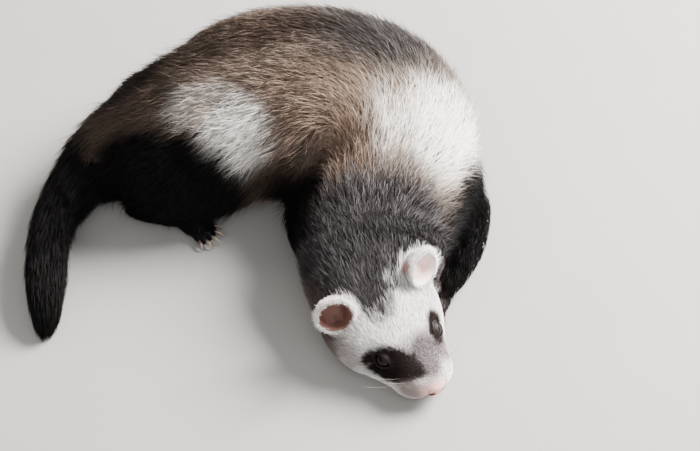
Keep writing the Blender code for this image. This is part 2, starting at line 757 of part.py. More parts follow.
def make_foot(name, foot, size, heel=0.0):
    """A furred foot with five toes and their claws, flat on the floor."""
    length, width, height = size
    heading = foot[1]
    pieces = [ellipsoid("palm", foot_point(foot, 0, 0, height * 0.8), size, heading, segments=24, rings=16)]
    if heel:
        path = [foot_point(foot, -heel * t, 0, height * (0.8 + 0.7 * t)) for t in (0.0, 0.5, 1.0)]
        pieces.append(tube("sole", path, (width * 0.85, width * 0.78, width * 0.9), 16, 10, 0.85))
    claws = []
    knuckle = length * 0.3
    for i in range(TOES):
        turn = TOE_SPREAD_DEG * (i / (TOES - 1) - 0.5)
        outer = abs(i / (TOES - 1) - 0.5) * 2
        reach = length * 0.55 + TOE_LENGTH * (1 - 0.32 * outer**2)
        aside = width * 0.35 * turn / TOE_SPREAD_DEG
        a = math.radians(turn)
        places = (knuckle, 0.4 * knuckle + 0.6 * reach, reach)
        path = [
            foot_point(foot, r * math.cos(a), aside + r * math.sin(a), up)
            for r, up in zip(places, TOE_HEIGHTS)
        ]
        pieces.append(tube("toe", path, (TOE_RADIUS, TOE_RADIUS * 1.08, TOE_RADIUS * 0.8), 12, 8))
        claws.append(claw(foot, reach, aside, turn, CLAW_LENGTH * (1 - 0.15 * outer)))
    body = on_floor(thinned(fused(joined(name, pieces), FOOT_VOXEL, FOOT_SOFTENING), FOOT_TRIANGLES))
    return largest_only(united(body, [on_floor(piece) for piece in claws]))


def make_legs():
    for side in SIDES:
        forearm = on_floor(tube("forearm_" + side, FOREARM[side], FOREARM_RADII, 14, 7))
        shank = on_floor(tube("shank_" + side, SHANK[side], SHANK_RADII, 14, 7))
        paw = make_foot("forepaw_" + side, FOREPAW[side], FOREPAW_SIZE)
        foot = make_foot("hind_foot_" + side, HIND_FOOT[side], HIND_FOOT_SIZE, HEEL_REACH)
        clear_of(forearm, paw)
        clear_of(shank, foot)
        for limb in (forearm, shank, paw, foot):
            clear_of(limb, bpy.data.objects["whole_trunk"])
            clear_of(limb, bpy.data.objects["head"])
    bpy.data.objects.remove(bpy.data.objects["whole_trunk"])


def boxes_meet(a, b):
    low_a, high_a = np.min(corners(a), axis=0), np.max(corners(a), axis=0)
    low_b, high_b = np.min(corners(b), axis=0), np.max(corners(b), axis=0)
    return bool(np.all(low_a - GAP < high_b) and np.all(low_b - GAP < high_a))


def corners(obj):
    return np.array([c[:] for c in obj.bound_box])


def clear_of(obj, other):
    """Cuts the object clear of another one by the gap."""
    if boxes_meet(obj, other):
        largest_only(carved(obj, grown(other)))


# Colours as linear RGB.
PALE_FUR = (0.72, 0.68, 0.62)
DARK_FUR = (0.012, 0.011, 0.012)
GREY_FUR = (0.11, 0.10, 0.095)
TAN_FUR = (0.34, 0.28, 0.22)
EAR_SKIN = (0.62, 0.42, 0.38)
EYE_BLACK = (0.006, 0.005, 0.005)
FINISHES = {
    "head": (PALE_FUR, 0.75),
    "neck": (GREY_FUR, 0.8),
    "chest": (PALE_FUR, 0.8),
    "belly": (TAN_FUR, 0.8),
    "rump": (GREY_FUR, 0.8),
    "tail": (DARK_FUR, 0.8),
    "thigh": (DARK_FUR, 0.8),
    "shank": (DARK_FUR, 0.8),
    "hind_foot": (DARK_FUR, 0.75),
    "upper_arm": (DARK_FUR, 0.8),
    "forearm": (DARK_FUR, 0.8),
    "forepaw": (DARK_FUR, 0.75),
    "ear": (EAR_SKIN, 0.7),
    "eye": (EYE_BLACK, 0.08),
}


def finish(obj):
    colour, roughness = next(look for start, look in FINISHES.items() if obj.name.startswith(start))
    material = bpy.data.materials.new(obj.name)
    material.use_nodes = True
    shader = material.node_tree.nodes["Principled BSDF"]
    shader.inputs["Base Color"].default_value = (*colour, 1.0)
    shader.inputs["Roughness"].default_value = roughness
    shader.inputs["Metallic"].default_value = 0.0
    obj.data.materials.clear()
    obj.data.materials.append(material)
    obj.data.shade_smooth()
    obj.data.set_sharp_from_angle(angle=math.radians(50))


def clear_scene():
    for obj in list(bpy.data.objects):
        bpy.data.objects.remove(obj)


def main():
    clear_scene()
    make_trunk()
    make_tail()
    make_head()
    for sign in (-1, 1):
        make_ear(sign)
    make_legs()
    ferret = bpy.data.collections.new("ferret")
    bpy.context.scene.collection.children.link(ferret)
    for obj in list(bpy.context.scene.collection.objects):
        finish(obj)
        bpy.context.scene.collection.objects.unlink(obj)
        ferret.objects.link(obj)


main()
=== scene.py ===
"""A life-size ferret lying curled on its belly: one skin, a coat of solid tufts, eyes, claws, whiskers.

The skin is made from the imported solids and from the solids' own head, feet and tail forms, drawn in by
the coat's depth. Tufts grow from it along the lie of the coat and reach out to the solids' outline.
Meshes are in metres. The numbers that they are made from are in millimetres, and MM turns them to metres.
"""

import math

import bmesh
import bpy
import numpy as np
from mathutils import Matrix, Vector
from mathutils.bvhtree import BVHTree
from mathutils.kdtree import KDTree


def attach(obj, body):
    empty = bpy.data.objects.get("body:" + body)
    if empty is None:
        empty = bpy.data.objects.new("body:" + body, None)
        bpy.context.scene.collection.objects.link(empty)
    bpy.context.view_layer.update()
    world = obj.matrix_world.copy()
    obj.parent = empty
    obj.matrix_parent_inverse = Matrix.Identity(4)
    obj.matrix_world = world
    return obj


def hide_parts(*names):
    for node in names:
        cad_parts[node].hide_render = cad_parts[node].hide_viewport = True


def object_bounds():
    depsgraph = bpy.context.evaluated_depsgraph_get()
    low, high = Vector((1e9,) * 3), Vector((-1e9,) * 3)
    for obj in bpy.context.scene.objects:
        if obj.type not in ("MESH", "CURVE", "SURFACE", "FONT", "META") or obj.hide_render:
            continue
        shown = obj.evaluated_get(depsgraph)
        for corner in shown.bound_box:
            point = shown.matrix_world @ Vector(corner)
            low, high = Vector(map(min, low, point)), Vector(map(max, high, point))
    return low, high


MM = 0.001
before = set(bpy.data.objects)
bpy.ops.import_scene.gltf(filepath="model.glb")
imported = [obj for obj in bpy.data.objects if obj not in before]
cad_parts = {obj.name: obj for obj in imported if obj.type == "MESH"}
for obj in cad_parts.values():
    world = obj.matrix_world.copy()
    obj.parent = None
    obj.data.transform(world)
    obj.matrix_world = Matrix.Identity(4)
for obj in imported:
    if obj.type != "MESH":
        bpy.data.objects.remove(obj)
cad_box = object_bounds()
draw = np.random.default_rng(2024)

# Camera, at the photograph's viewing angle.
camera = bpy.data.objects.new("camera", bpy.data.cameras.new("camera"))
bpy.context.scene.collection.objects.link(camera)
bpy.context.scene.camera = camera
camera.location = (0.04756, -0.50659, 0.72249)
camera.rotation_euler = (math.radians(35.0), 0.0, 0.0)
camera.data.lens = 85.0
camera.data.sensor_width = 36.0
camera.data.clip_start = 0.01

# The body's path in plan and its sections, as the solids have them.
CENTRE = np.array((47.37, -0.76))
NOSE = np.array((42.7, -105.5)) + CENTRE
HEADING_DEG = 33.0
HEAD_STRAIGHT = 56.0
PATH = (
    (11.2, -31.7), (18.0, -10.3), (25.9, 11.7), (19.9, 31.9), (7.4, 45.9), (-9.6, 53.3), (-31.9, 54.7),
    (-52.5, 49.9), (-72.9, 41.3), (-92.4, 37.0), (-112.0, 32.0), (-128.2, 29.2), (-143.0, 16.7),
    (-152.5, 1.5), (-156.4, -15.8), (-156.3, -34.3), (-155.3, -51.3), (-154.5, -64.1), (-154.9, -75.3),
)
# Distance behind the nose, half width, top and underside.
SECTIONS = np.array((
    (0.0, 5.2, 15.0, 7.5), (3.0, 9.5, 18.0, 4.0), (8.0, 14.0, 21.0, 1.0), (15.0, 17.0, 24.0, -1.0),
    (24.0, 21.5, 28.5, -2.0), (34.0, 27.0, 34.0, -3.0), (45.0, 30.5, 38.5, -1.0), (55.0, 33.0, 43.0, 3.0),
    (68.0, 36.5, 50.0, 6.0), (82.0, 39.5, 57.0, 7.0), (104.0, 42.0, 66.0, 4.0), (128.0, 44.0, 76.0, -4.0),
    (292.0, 33.5, 64.0, -3.0), (308.0, 25.5, 53.0, -1.0), (328.0, 18.5, 38.0, -1.0),
    (346.0, 15.0, 30.0, -1.0), (364.0, 14.1, 28.0, -1.0), (382.0, 13.2, 26.5, -1.0),
    (399.0, 11.0, 22.5, -1.0), (412.0, 7.6, 16.0, -0.6), (422.0, 3.0, 7.5, 0.4),
))
HEAD_TAPER = 0.16
BODY_TAPER = 0.06
SECTION_POWER = 2.3


def hermite(knots, values, at):
    """A smooth curve through values at the knots, read at each place in at."""
    knots = np.asarray(knots, float)
    values = np.asarray(values, float).reshape(len(knots), -1)
    at = np.clip(np.atleast_1d(np.asarray(at, float)), knots[0], knots[-1])
    slopes = np.gradient(values, knots, axis=0)
    i = np.clip(np.searchsorted(knots, at, side="right") - 1, 0, len(knots) - 2)
    step = (knots[i + 1] - knots[i])[:, None]
    t = (at - knots[i])[:, None] / step
    return (
        (2 * t**3 - 3 * t**2 + 1) * values[i]
        + (t**3 - 2 * t**2 + t) * step * slopes[i]
        + (3 * t**2 - 2 * t**3) * values[i + 1]
        + (t**3 - t**2) * step * slopes[i + 1]
    )


def smoothstep(low, high, value):
    t = np.clip((value - low) / (high - low), 0.0, 1.0)
    return t * t * (3 - 2 * t)


def unit(vectors):
    return vectors / np.maximum(np.linalg.norm(vectors, axis=-1, keepdims=True), 1e-9)


def reach_along(points):
    """How far along a line of points each one lies."""
    return np.concatenate([[0.0], np.cumsum(np.linalg.norm(np.diff(points, axis=0), axis=1))])


def turns(sides):
    """Angles evenly round a ring."""
    return np.arange(sides) * 2 * math.pi / sides


def left_of(back):
    """The animal's left, square to directions that point backwards in plan."""
    return np.column_stack([back[:, 1], -back[:, 0]])


HEADING = math.radians(HEADING_DEG)
HEAD_TURN_DEG = HEADING_DEG - 90.0
FORWARD = np.array([math.sin(HEADING), -math.cos(HEADING)])
LEFT = np.array([-FORWARD[1], FORWARD[0]])
HEAD_LINE = [NOSE - FORWARD * s for s in (0.0, HEAD_STRAIGHT / 2, HEAD_STRAIGHT)]
ROUTE = np.array(HEAD_LINE + [CENTRE + p for p in PATH])
ROUTE_KNOTS = reach_along(ROUTE)


def route_at(s):
    """(middles, backward directions) of the path in plan, at places s behind the nose."""
    s = np.atleast_1d(np.asarray(s, float))
    behind, ahead = (hermite(ROUTE_KNOTS, ROUTE, s + step) for step in (1.0, -1.0))
    return hermite(ROUTE_KNOTS, ROUTE, s), unit(behind - ahead)


def outline(s, angle, grow=1.0, ahead=0.0):
    """Places of the body's outline at s, at angles round it from the top."""
    middle, back = route_at(s)
    left = left_of(back)
    half, top, under = hermite(SECTIONS[:, 0], SECTIONS[:, 1:], s).T
    taper = HEAD_TAPER + (BODY_TAPER - HEAD_TAPER) * smoothstep(30.0, 90.0, s)
    up = np.sign(np.cos(angle)) * np.abs(np.cos(angle)) ** (2 / SECTION_POWER)
    out = np.sign(np.sin(angle)) * np.abs(np.sin(angle)) ** (2 / SECTION_POWER)
    out = out * half * (1 - taper * up) * grow
    z = (top + under) / 2 + up * (top - under) / 2 * grow
    return np.column_stack([middle - back * ahead + out[:, None] * left, z])


def section(s, sides, grow=1.0, ahead=0.0):
    """One closed ring of the body's outline at s."""
    return outline(np.full(sides, float(s)), turns(sides), grow, ahead)


# Forms.
def linked(name, mesh):
    obj = bpy.data.objects.new(name, mesh)
    bpy.context.scene.collection.objects.link(obj)
    return obj


def made(name, form):
    """An object from a bmesh, which it uses up."""
    mesh = bpy.data.meshes.new(name)
    form.to_mesh(mesh)
    form.free()
    return linked(name, mesh)


def loft(name, rings):
    """A closed solid through rings of points."""
    form = bmesh.new()
    rows = [[form.verts.new(Vector(p) * MM) for p in ring] for ring in rings]
    for a, b in zip(rows, rows[1:]):
        for i in range(len(a)):
            j = (i + 1) % len(a)
            form.faces.new((a[i], a[j], b[j], b[i]))
    form.faces.new(list(reversed(rows[0])))
    form.faces.new(rows[-1])
    bmesh.ops.triangulate(form, faces=[f for f in form.faces if len(f.verts) > 4])
    bmesh.ops.recalc_face_normals(form, faces=form.faces)
    return made(name, form)


ROUND_END = (0.97, 0.85, 0.5)


def tube(name, points, radii, sides=20, steps=24, flat=1.0):
    """A round-ended limb through points, flat being its height over its width."""
    points = np.asarray(points, float)
    knots = reach_along(points)
    at = np.linspace(0, knots[-1], steps)
    middles = hermite(knots, points, at)
    sizes = hermite(knots, radii, at)[:, 0]
    along = unit(np.gradient(middles, at, axis=0))
    side = unit(np.cross(along, (0.0, 0.0, 1.0)))
    up = np.cross(side, along)
    ring = np.column_stack([np.cos(turns(sides)), np.sin(turns(sides)) * flat])
    stations = [(0, -sizes[0] * bulge, math.sqrt(1 - bulge**2)) for bulge in ROUND_END]
    stations += [(i, 0.0, 1.0) for i in range(steps)]
    stations += [(steps - 1, sizes[-1] * bulge, math.sqrt(1 - bulge**2)) for bulge in ROUND_END[::-1]]
    rings = [
        middles[i] + along[i] * shift + sizes[i] * grow * (ring[:, :1] * side[i] + ring[:, 1:] * up[i])
        for i, shift, grow in stations
    ]
    return loft(name, rings)


def ellipsoid(name, middle, radii, turn_deg=0.0, segments=32, rings=20):
    """An egg, turned about the vertical."""
    form = bmesh.new()
    bmesh.ops.create_uvsphere(form, u_segments=segments, v_segments=rings, radius=1.0)
    turn = Matrix.Rotation(math.radians(turn_deg), 4, "Z")
    size = Matrix.Diagonal((*(r * MM for r in radii), 1.0))
    form.transform(Matrix.Translation(Vector(middle) * MM) @ turn @ size)
    return made(name, form)


def settled(obj):
    """Gives the object its evaluated mesh in place of its modifiers."""
    bpy.context.view_layer.update()
    mesh = bpy.data.meshes.new_from_object(obj.evaluated_get(bpy.context.evaluated_depsgraph_get()))
    obj.modifiers.clear()
    obj.data = mesh
    return obj


def modified(obj, kind, **settings):
    modifier = obj.modifiers.new(kind, kind)
    for name, value in settings.items():
        setattr(modifier, name, value)
    return settled(obj)


def joined(name, objs):
    """One object from several, their surfaces left crossing for a remesh."""
    form = bmesh.new()
    for obj in objs:
        form.from_mesh(obj.data)
        bpy.data.objects.remove(obj)
    return made(name, form)


def carved(obj, cutter, operation="DIFFERENCE"):
    """Cuts or joins the object with another, which it uses up."""
    modified(obj, "BOOLEAN", operation=operation, object=cutter, solver="MANIFOLD")
    bpy.data.objects.remove(cutter)
    return obj


def rows_of(items, name, width, kind):
    """An attribute of all items of a mesh, as rows of that many numbers."""
    values = np.empty(len(items) * width, kind)
    items.foreach_get(name, values)
    return values.reshape(-1, width)


def places_of(mesh):
    return rows_of(mesh.vertices, "co", 3, np.float32).astype(float)


def normals_of(mesh):
    return rows_of(mesh.vertex_normals, "vector", 3, np.float32).astype(float)


def moved_to(mesh, places):
    mesh.vertices.foreach_set("co", places.astype(np.float32).ravel())
    mesh.update()


EVENING = 0.6


def evened(values, mesh, rounds):
    """Values on the vertices of a mesh, each brought nearer to its neighbours' that many times."""
    n = len(values)
    edges = rows_of(mesh.edges, "vertices", 2, np.int32)
    ends = np.concatenate([edges, edges[:, ::-1]])
    count = np.maximum(np.bincount(ends[:, 0], minlength=n), 1)
    for _ in range(rounds):
        around = [np.bincount(ends[:, 0], column[ends[:, 1]], n) / count for column in values.T]
        values = (1 - EVENING) * values + EVENING * np.column_stack(around)
    return values


def nearest(points, places):
    """Which of the points is nearest to each place."""
    tree = KDTree(len(points))
    for i, p in enumerate(points):
        tree.insert(p, i)
    tree.balance()
    return np.array([tree.find(p)[1] for p in places])


# Head. Places are given forward of the nose tip, to the animal's left and up from the floor.
EYE_PLACE = (-24.7, 14.5, 18.6)
EYE_RADIUS = 4.4
GAZE = (0.45, 0.75, 0.5)
LID_HALF_LENGTH = 4.4
LID_HALF_HEIGHT = 2.9
LID_THICKNESS = 0.9
LID_SIDES = 36
LID_ROUNDING = 0.35
LID_REACH = (1.0, 9.0)
SOCKET_GAP = 0.05
NOSE_PAD = ((-1.2, 0.0, 10.6), (3.6, 5.6, 4.0))
NOSTRIL = ((1.3, 2.6, 10.8), (0.8, 3.7, 10.3), (-0.2, 4.9, 9.8))
NOSTRIL_RADII = (1.15, 0.95, 0.6)
MOUTH_LINE = np.array(((-3.0, 5.4), (2.0, 4.9), (8.0, 4.4), (15.0, 5.0), (24.0, 8.0)))
MOUTH_DEPTH = 1.3
MOUTH_WIDTH = 0.9
MOUTH_END = (18.0, 23.0)
FACE_FORMS = (
    ((-8.0, 9.5, 9.5), 7.0, 1.5),
    ((-8.0, 6.0, 2.0), 6.0, 0.8),
    ((-25.2, 11.0, 25.5), 7.0, 1.3),
    ((-24.2, 17.5, 18.8), 6.5, -2.4),
    ((-42.0, 25.0, 18.0), 12.0, 1.8),
    ((-15.0, 0.0, 24.0), 8.0, -1.0),
    ((-1.5, 0.0, 6.4), 1.5, -0.9),
)
EAR_PLACE = {-1: (-49.0, 27.5, 36.0), 1: (-47.5, 23.5, 38.0)}
EAR_OPENING = (0.78, 0.34, 0.5)
EAR_RADIUS = 11.0
EAR_DEPTH = 6.5
EAR_RIM_LIFT = 1.2
EAR_SIDES = 56
# Shares of the ear's radius and depth, from the middle of the cup over the rim to the root.
EAR_RINGS = (
    (0.05, -1.0), (0.25, -0.95), (0.45, -0.84), (0.6, -0.64), (0.72, -0.42), (0.82, -0.16), (0.885, 0.03),
    (0.93, 0.1), (0.975, 0.06), (1.0, -0.1), (0.99, -0.35), (0.92, -0.75), (0.8, -1.1), (0.66, -1.38),
    (0.35, -1.75),
)
EAR_POCKET = ((0.5, 0.45), (0.9, 0.2), *EAR_RINGS[8:])
EAR_TIP_LEAN = 0.5
EAR_TIP_LENGTH = 0.08
# The skin's ear as a share of the solid one, which reaches to the tips of its fringe.
EAR_SHARE = 0.87
POCKET_SHARE = 0.95 * EAR_SHARE
EAR_CUP_SHARE = 0.9
EAR_FIELD_REACH = 16
EAR_FIELD_GAP = 0.45
# What the coat's depth and its tufts gain behind the nose: (gain, from, to).
FACE_DEPTH = (0.5, ((0.5, 2.0, 20.0), (1.6, 28.0, 50.0), (3.4, 46.0, 74.0)))
FACE_LENGTH = (1.7, ((1.6, 4.0, 24.0), (3.0, 24.0, 46.0), (7.5, 42.0, 74.0)))
FACE_WIDTH = (0.2, ((0.1, 10.0, 40.0), (0.14, 40.0, 70.0)))
FACE_CLOSENESS = (5.2, ((-2.6, 20.0, 50.0), (-1.4, 48.0, 74.0)))
FACE_TIP_HEIGHT = 0.15
HEAD_SIDES = 180
HEAD_STEP = 0.45
HEAD_VOXEL = 0.00045
HEAD_END = 82.0
SNOUT = ((0.15, 2.0), (0.45, 1.8), (0.7, 1.4), (0.88, 0.8))


def in_head(point):
    """A place in the head's frame, as one in the model's frame."""
    point = np.asarray(point, float)
    plan = NOSE + point[..., :1] * FORWARD + point[..., 1:2] * LEFT
    return np.concatenate([plan, point[..., 2:3]], axis=-1)


def toward(direction):
    """A direction in the head's frame as a unit vector in the model's frame."""
    return unit(np.concatenate([direction[0] * FORWARD + direction[1] * LEFT, [direction[2]]]))


def mirrored(point, sign):
    return (point[0], point[1] * sign, point[2])


def behind_nose(places):
    """How far behind the nose tip, along the head, places of a mesh are."""
    return -((places[:, :2] / MM - NOSE) @ FORWARD)


def eye_frame(sign):
    """(middle, gaze, along the lids, across the lids) of an eye, in the model's frame."""
    middle = in_head(mirrored(EYE_PLACE, sign))
    gaze = toward(mirrored(GAZE, sign))
    along = toward((1.0, 0.0, 0.0))
    along = unit(along - gaze * along.dot(gaze))
    return middle, gaze, along, np.cross(gaze, along)


def ear_frame(sign):
    """(middle, way that the cup opens, towards the ear's tip, across the ear), in the model's frame."""
    middle = in_head(mirrored(EAR_PLACE[sign], sign))
    opening = toward(mirrored(EAR_OPENING, sign))
    tip = np.array([0.0, 0.0, 1.0]) - toward((1.0, 0.0, 0.0)) * EAR_TIP_LEAN
    tip = unit(tip - opening * tip.dot(opening))
    return middle, opening, tip, np.cross(opening, tip)


def round_ear(sign, angle):
    """Directions out from the middle of an ear's cup, at angles from its tip."""
    tip, side = ear_frame(sign)[2:]
    return np.cos(angle)[:, None] * tip + np.sin(angle)[:, None] * side


def face_formed(points, normals):
    """Where each point of the head moves to: swellings, sockets and the line of the mouth."""
    shift = np.zeros(len(points))
    for sign in (-1, 1):
        for place, reach, height in FACE_FORMS:
            if place[1] == 0.0 and sign < 0:
                continue
            away = np.linalg.norm(points - in_head(mirrored(place, sign)), axis=1)
            shift += height * np.exp(-((away / reach) ** 2))
    moved = points + normals * shift[:, None]
    back = -((moved[:, :2] - NOSE) @ FORWARD)
    away = moved[:, 2] - hermite(MOUTH_LINE[:, 0], MOUTH_LINE[:, 1], back)[:, 0]
    groove = MOUTH_DEPTH * np.exp(-((away / MOUTH_WIDTH) ** 2)) * (1 - smoothstep(*MOUTH_END, back))
    return moved - normals * groove[:, None]


def along_head(measure, back):
    """A measure of the face, that far behind the nose."""
    value, gains = measure
    for gain, start, end in gains:
        value = value + gain * smoothstep(start, end, back)
    return value


def lid_opening(sign, reach):
    """The almond between the lids, that far in front of the eye's middle."""
    middle, gaze, along, across = eye_frame(sign)
    angle = turns(LID_SIDES)
    a = LID_HALF_LENGTH * np.cos(angle)
    b = LID_HALF_HEIGHT * np.sin(angle) * np.abs(np.sin(angle)) ** LID_ROUNDING
    return middle + gaze * reach + a[:, None] * along + b[:, None] * across


def ear_form(sign, profile=EAR_RINGS, share_of=EAR_SHARE):
    """A round cup with a rim, open forward, outward and up."""
    middle, opening = ear_frame(sign)[:2]
    angle = turns(EAR_SIDES)
    reach = EAR_RADIUS * (1 + EAR_TIP_LENGTH * np.cos(angle))
    spread = round_ear(sign, angle)
    rings = []
    for share, height in profile:
        lift = height * EAR_DEPTH * share_of + EAR_RIM_LIFT * np.cos(angle) * share**2
        rings.append(middle + spread * (reach * share * share_of)[:, None] + lift[:, None] * opening)
    return loft("ear", rings)


def make_head():
    """The head, drawn in by the coat's depth, with ears, lids, nose pad, nostrils and mouth."""
    rings = [section(0.0, HEAD_SIDES, grow, ahead) for grow, ahead in SNOUT]
    rings += [section(s, HEAD_SIDES) for s in np.arange(0.0, HEAD_END, HEAD_STEP)]
    head = loft("head", rings)
    points, normals = places_of(head.data), normals_of(head.data)
    points = face_formed(points / MM, normals) * MM
    moved_to(head.data, points)
    depth = along_head(FACE_DEPTH, behind_nose(points)) * MM
    moved_to(head.data, points - normals_of(head.data) * depth[:, None])
    for sign in (-1, 1):
        carved(head, ear_form(sign, EAR_POCKET, POCKET_SHARE))
    middle, radii = NOSE_PAD
    parts = [head, ellipsoid("pad", in_head(middle), radii, HEAD_TURN_DEG)]
    for sign in (-1, 1):
        parts.append(ellipsoid("lids", eye_frame(sign)[0], (EYE_RADIUS + LID_THICKNESS,) * 3))
        parts.append(ear_form(sign))
    head = joined("head", parts)
    modified(head, "REMESH", mode="VOXEL", voxel_size=HEAD_VOXEL)
    modified(head, "SMOOTH", factor=0.5, iterations=3)
    for sign in (-1, 1):
        carved(head, loft("opening", [lid_opening(sign, reach) for reach in LID_REACH]))
        carved(head, ellipsoid("socket", eye_frame(sign)[0], (EYE_RADIUS + SOCKET_GAP,) * 3))
        nostril = in_head([mirrored(p, sign) for p in NOSTRIL])
        carved(head, tube("nostril", nostril, NOSTRIL_RADII, 20, 10))
    return head


# Feet: (place in plan before the model was centred, heading in degrees).
FOREPAW = {"right": ((-12.5, -38.0), -65.0), "left": ((46.0, -50.0), -115.0)}
HIND_FOOT = {"right": ((-82.8, -2.8), -34.0), "left": ((-89.0, 92.0), 34.0)}
FOREPAW_SIZE = (8.0, 6.8, 4.6)
HIND_FOOT_SIZE = (9.0, 6.8, 4.6)
HEEL_REACH = 27.0
TOES = 5
TOE_SPREAD_DEG = 62.0
TOE_LENGTH = 7.5
TOE_RADIUS = 2.5
TOE_HEIGHTS = (4.4, 4.0, 2.5)
TOE_TAPER = (1.0, 1.08, 0.8)
CLAW_LENGTH = 5.8
CLAW_RADIUS = 0.95
CLAW_TAPER = (1.0, 0.9, 0.6, 0.25)
CLAW_STATIONS = (0.0, 0.33, 0.66, 1.0)
CLAW_BEND_DEG = 80.0
CLAW_SINK = 0.8
CLAW_ROOT_HEIGHT = 3.0
CLAW_ARCH = 0.9
CLAW_DROP = 2.3
# From and to what distance from the foot's middle a claw pales.
CLAW_SHADES = (10.0, 18.0)


def foot_point(foot, forward, left, up):
    """A place in a foot's own frame, forward and to the left of its middle, as one in the model's."""
    (x, y), heading = foot
    c, s = math.cos(math.radians(heading)), math.sin(math.radians(heading))
    return (x + CENTRE[0] + forward * c - left * s, y + CENTRE[1] + forward * s + left * c, up)


def toes_of(size):
    """(turn in degrees, reach, step aside, how far out) of each toe."""
    length, width = size[:2]
    for i in range(TOES):
        turn = TOE_SPREAD_DEG * (i / (TOES - 1) - 0.5)
        outer = abs(i / (TOES - 1) - 0.5) * 2
        reach = length * 0.55 + TOE_LENGTH * (1 - 0.32 * outer**2)
        yield turn, reach, width * 0.35 * turn / TOE_SPREAD_DEG, outer


def foot_forms(foot, size, heel=0.0):
    """Palm, sole and toes of a foot."""
    length, width, height = size
    pieces = [ellipsoid("palm", foot_point(foot, 0, 0, height * 0.8), size, foot[1])]
    if heel:
        path = [foot_point(foot, -heel * t, 0, height * (0.8 + 0.7 * t)) for t in (0.0, 0.5, 1.0)]
        pieces.append(tube("sole", path, (width * 0.85, width * 0.78, width * 0.9), 24, 16, 0.85))
    knuckle = length * 0.3
    for turn, reach, aside, _ in toes_of(size):
        a = math.radians(turn)
        places = zip((knuckle, 0.4 * knuckle + 0.6 * reach, reach), TOE_HEIGHTS)
        path = [foot_point(foot, r * math.cos(a), aside + r * math.sin(a), up) for r, up in places]
        pieces.append(tube("toe", path, [TOE_RADIUS * share for share in TOE_TAPER], 20, 12))
    return pieces


def claws_of(foot, size):
    """Curved, tapered claws from inside the toes' ends down to near the floor."""
    bend = math.radians(CLAW_BEND_DEG)
    for turn, reach, aside, outer in toes_of(size):
        a = math.radians(turn)
        length = CLAW_LENGTH * (1 - 0.15 * outer)
        points = []
        for t in CLAW_STATIONS:
            along = reach - CLAW_SINK + length * math.sin(bend * t) / math.sin(bend)
            rise = CLAW_ROOT_HEIGHT + CLAW_ARCH * math.sin(math.pi * t) - CLAW_DROP * t * t
            points.append(foot_point(foot, along * math.cos(a), aside + along * math.sin(a), rise))
        yield tube("claw", points, [CLAW_RADIUS * share for share in CLAW_TAPER], 12, 10)


# The coat by the part that it grows on: how far the skin lies inside the solids, how high the tips
# stand, the tufts' length and width, and how close they stand.
COAT = {
    "neck": (5.4, 5.4, 15.0, 0.48, 1.0),
    "chest": (7.0, 7.0, 21.0, 0.52, 1.0),
    "belly": (7.0, 7.0, 24.0, 0.55, 0.9),
    "rump": (6.6, 6.6, 22.0, 0.52, 1.0),
    "thigh": (5.0, 5.0, 16.0, 0.5, 1.0),
    "upper_arm": (4.4, 4.4, 14.0, 0.46, 1.0),
    "forearm": (2.4, 2.4, 9.0, 0.42, 1.1),
    "shank": (2.4, 2.4, 9.0, 0.42, 1.1),
    "foot": (0.6, 0.7, 3.6, 0.3, 1.9),
    "tail": (0.0, 6.5, 23.0, 0.5, 1.25),
}
# Which stretch of the path a part's coat follows.
STRETCH = {
    "neck": (62.0, 108.0),
    "chest": (100.0, 182.0),
    "belly": (172.0, 254.0),
    "rump": (244.0, 328.0),
    "thigh": (250.0, 328.0),
    "tail": (318.0, 424.0),
}
# The way the hair of each limb points, in the model's frame.
LIMB_FLOW = {
    "thigh_right": (-0.75, -0.25, -0.5),
    "thigh_left": (-0.8, 0.2, -0.5),
    "upper_arm_right": (-0.5, -0.55, -0.65),
    "upper_arm_left": (0.3, -0.6, -0.7),
    "forearm_right": (0.05, -0.9, -0.2),
    "forearm_left": (-0.3, -0.95, -0.2),
    "shank_right": (-0.95, -0.05, -0.2),
    "shank_left": (-0.98, -0.1, -0.2),
}
HANG = 0.45
BODY_VOXEL = 0.0016
NODE_SWELL = 0.4
# The tail's core as a share of its section.
TAIL_SHARES = (
    (316.0, 0.72), (324.0, 0.7), (332.0, 0.62), (342.0, 0.54), (356.0, 0.5), (408.0, 0.5), (414.0, 0.3),
)
TAIL_STATIONS = np.arange(316.0, 414.0, 3.0)


def core_share(s):
    return hermite(*zip(*TAIL_SHARES), s)[:, 0]


def along_path(points, stretch):
    """(s, backward direction) of the path where it is nearest to places, within a stretch of it."""
    s = np.arange(stretch[0], stretch[1], 1.0)
    middles, backs = route_at(s)
    away = ((points[:, None, :2] / MM - middles[None]) ** 2).sum(-1)
    i = away.argmin(1)
    return s[i], backs[i]


def grown_copy(node):
    """A copy of a solid, swollen a little so that it meets its neighbours."""
    copy = linked(node.name, node.data.copy())
    copy.data.materials.clear()
    form = bmesh.new()
    form.from_mesh(copy.data)
    bmesh.ops.remove_doubles(form, verts=form.verts, dist=1e-6)
    form.to_mesh(copy.data)
    form.free()
    moved_to(copy.data, places_of(copy.data) + normals_of(copy.data) * NODE_SWELL * MM)
    return copy


def nearest_foot(middle):
    feet = (*FOREPAW.values(), *HIND_FOOT.values())
    return min(feet, key=lambda foot: np.linalg.norm(middle - foot_point(foot, 0, 0, 0)[:2]))


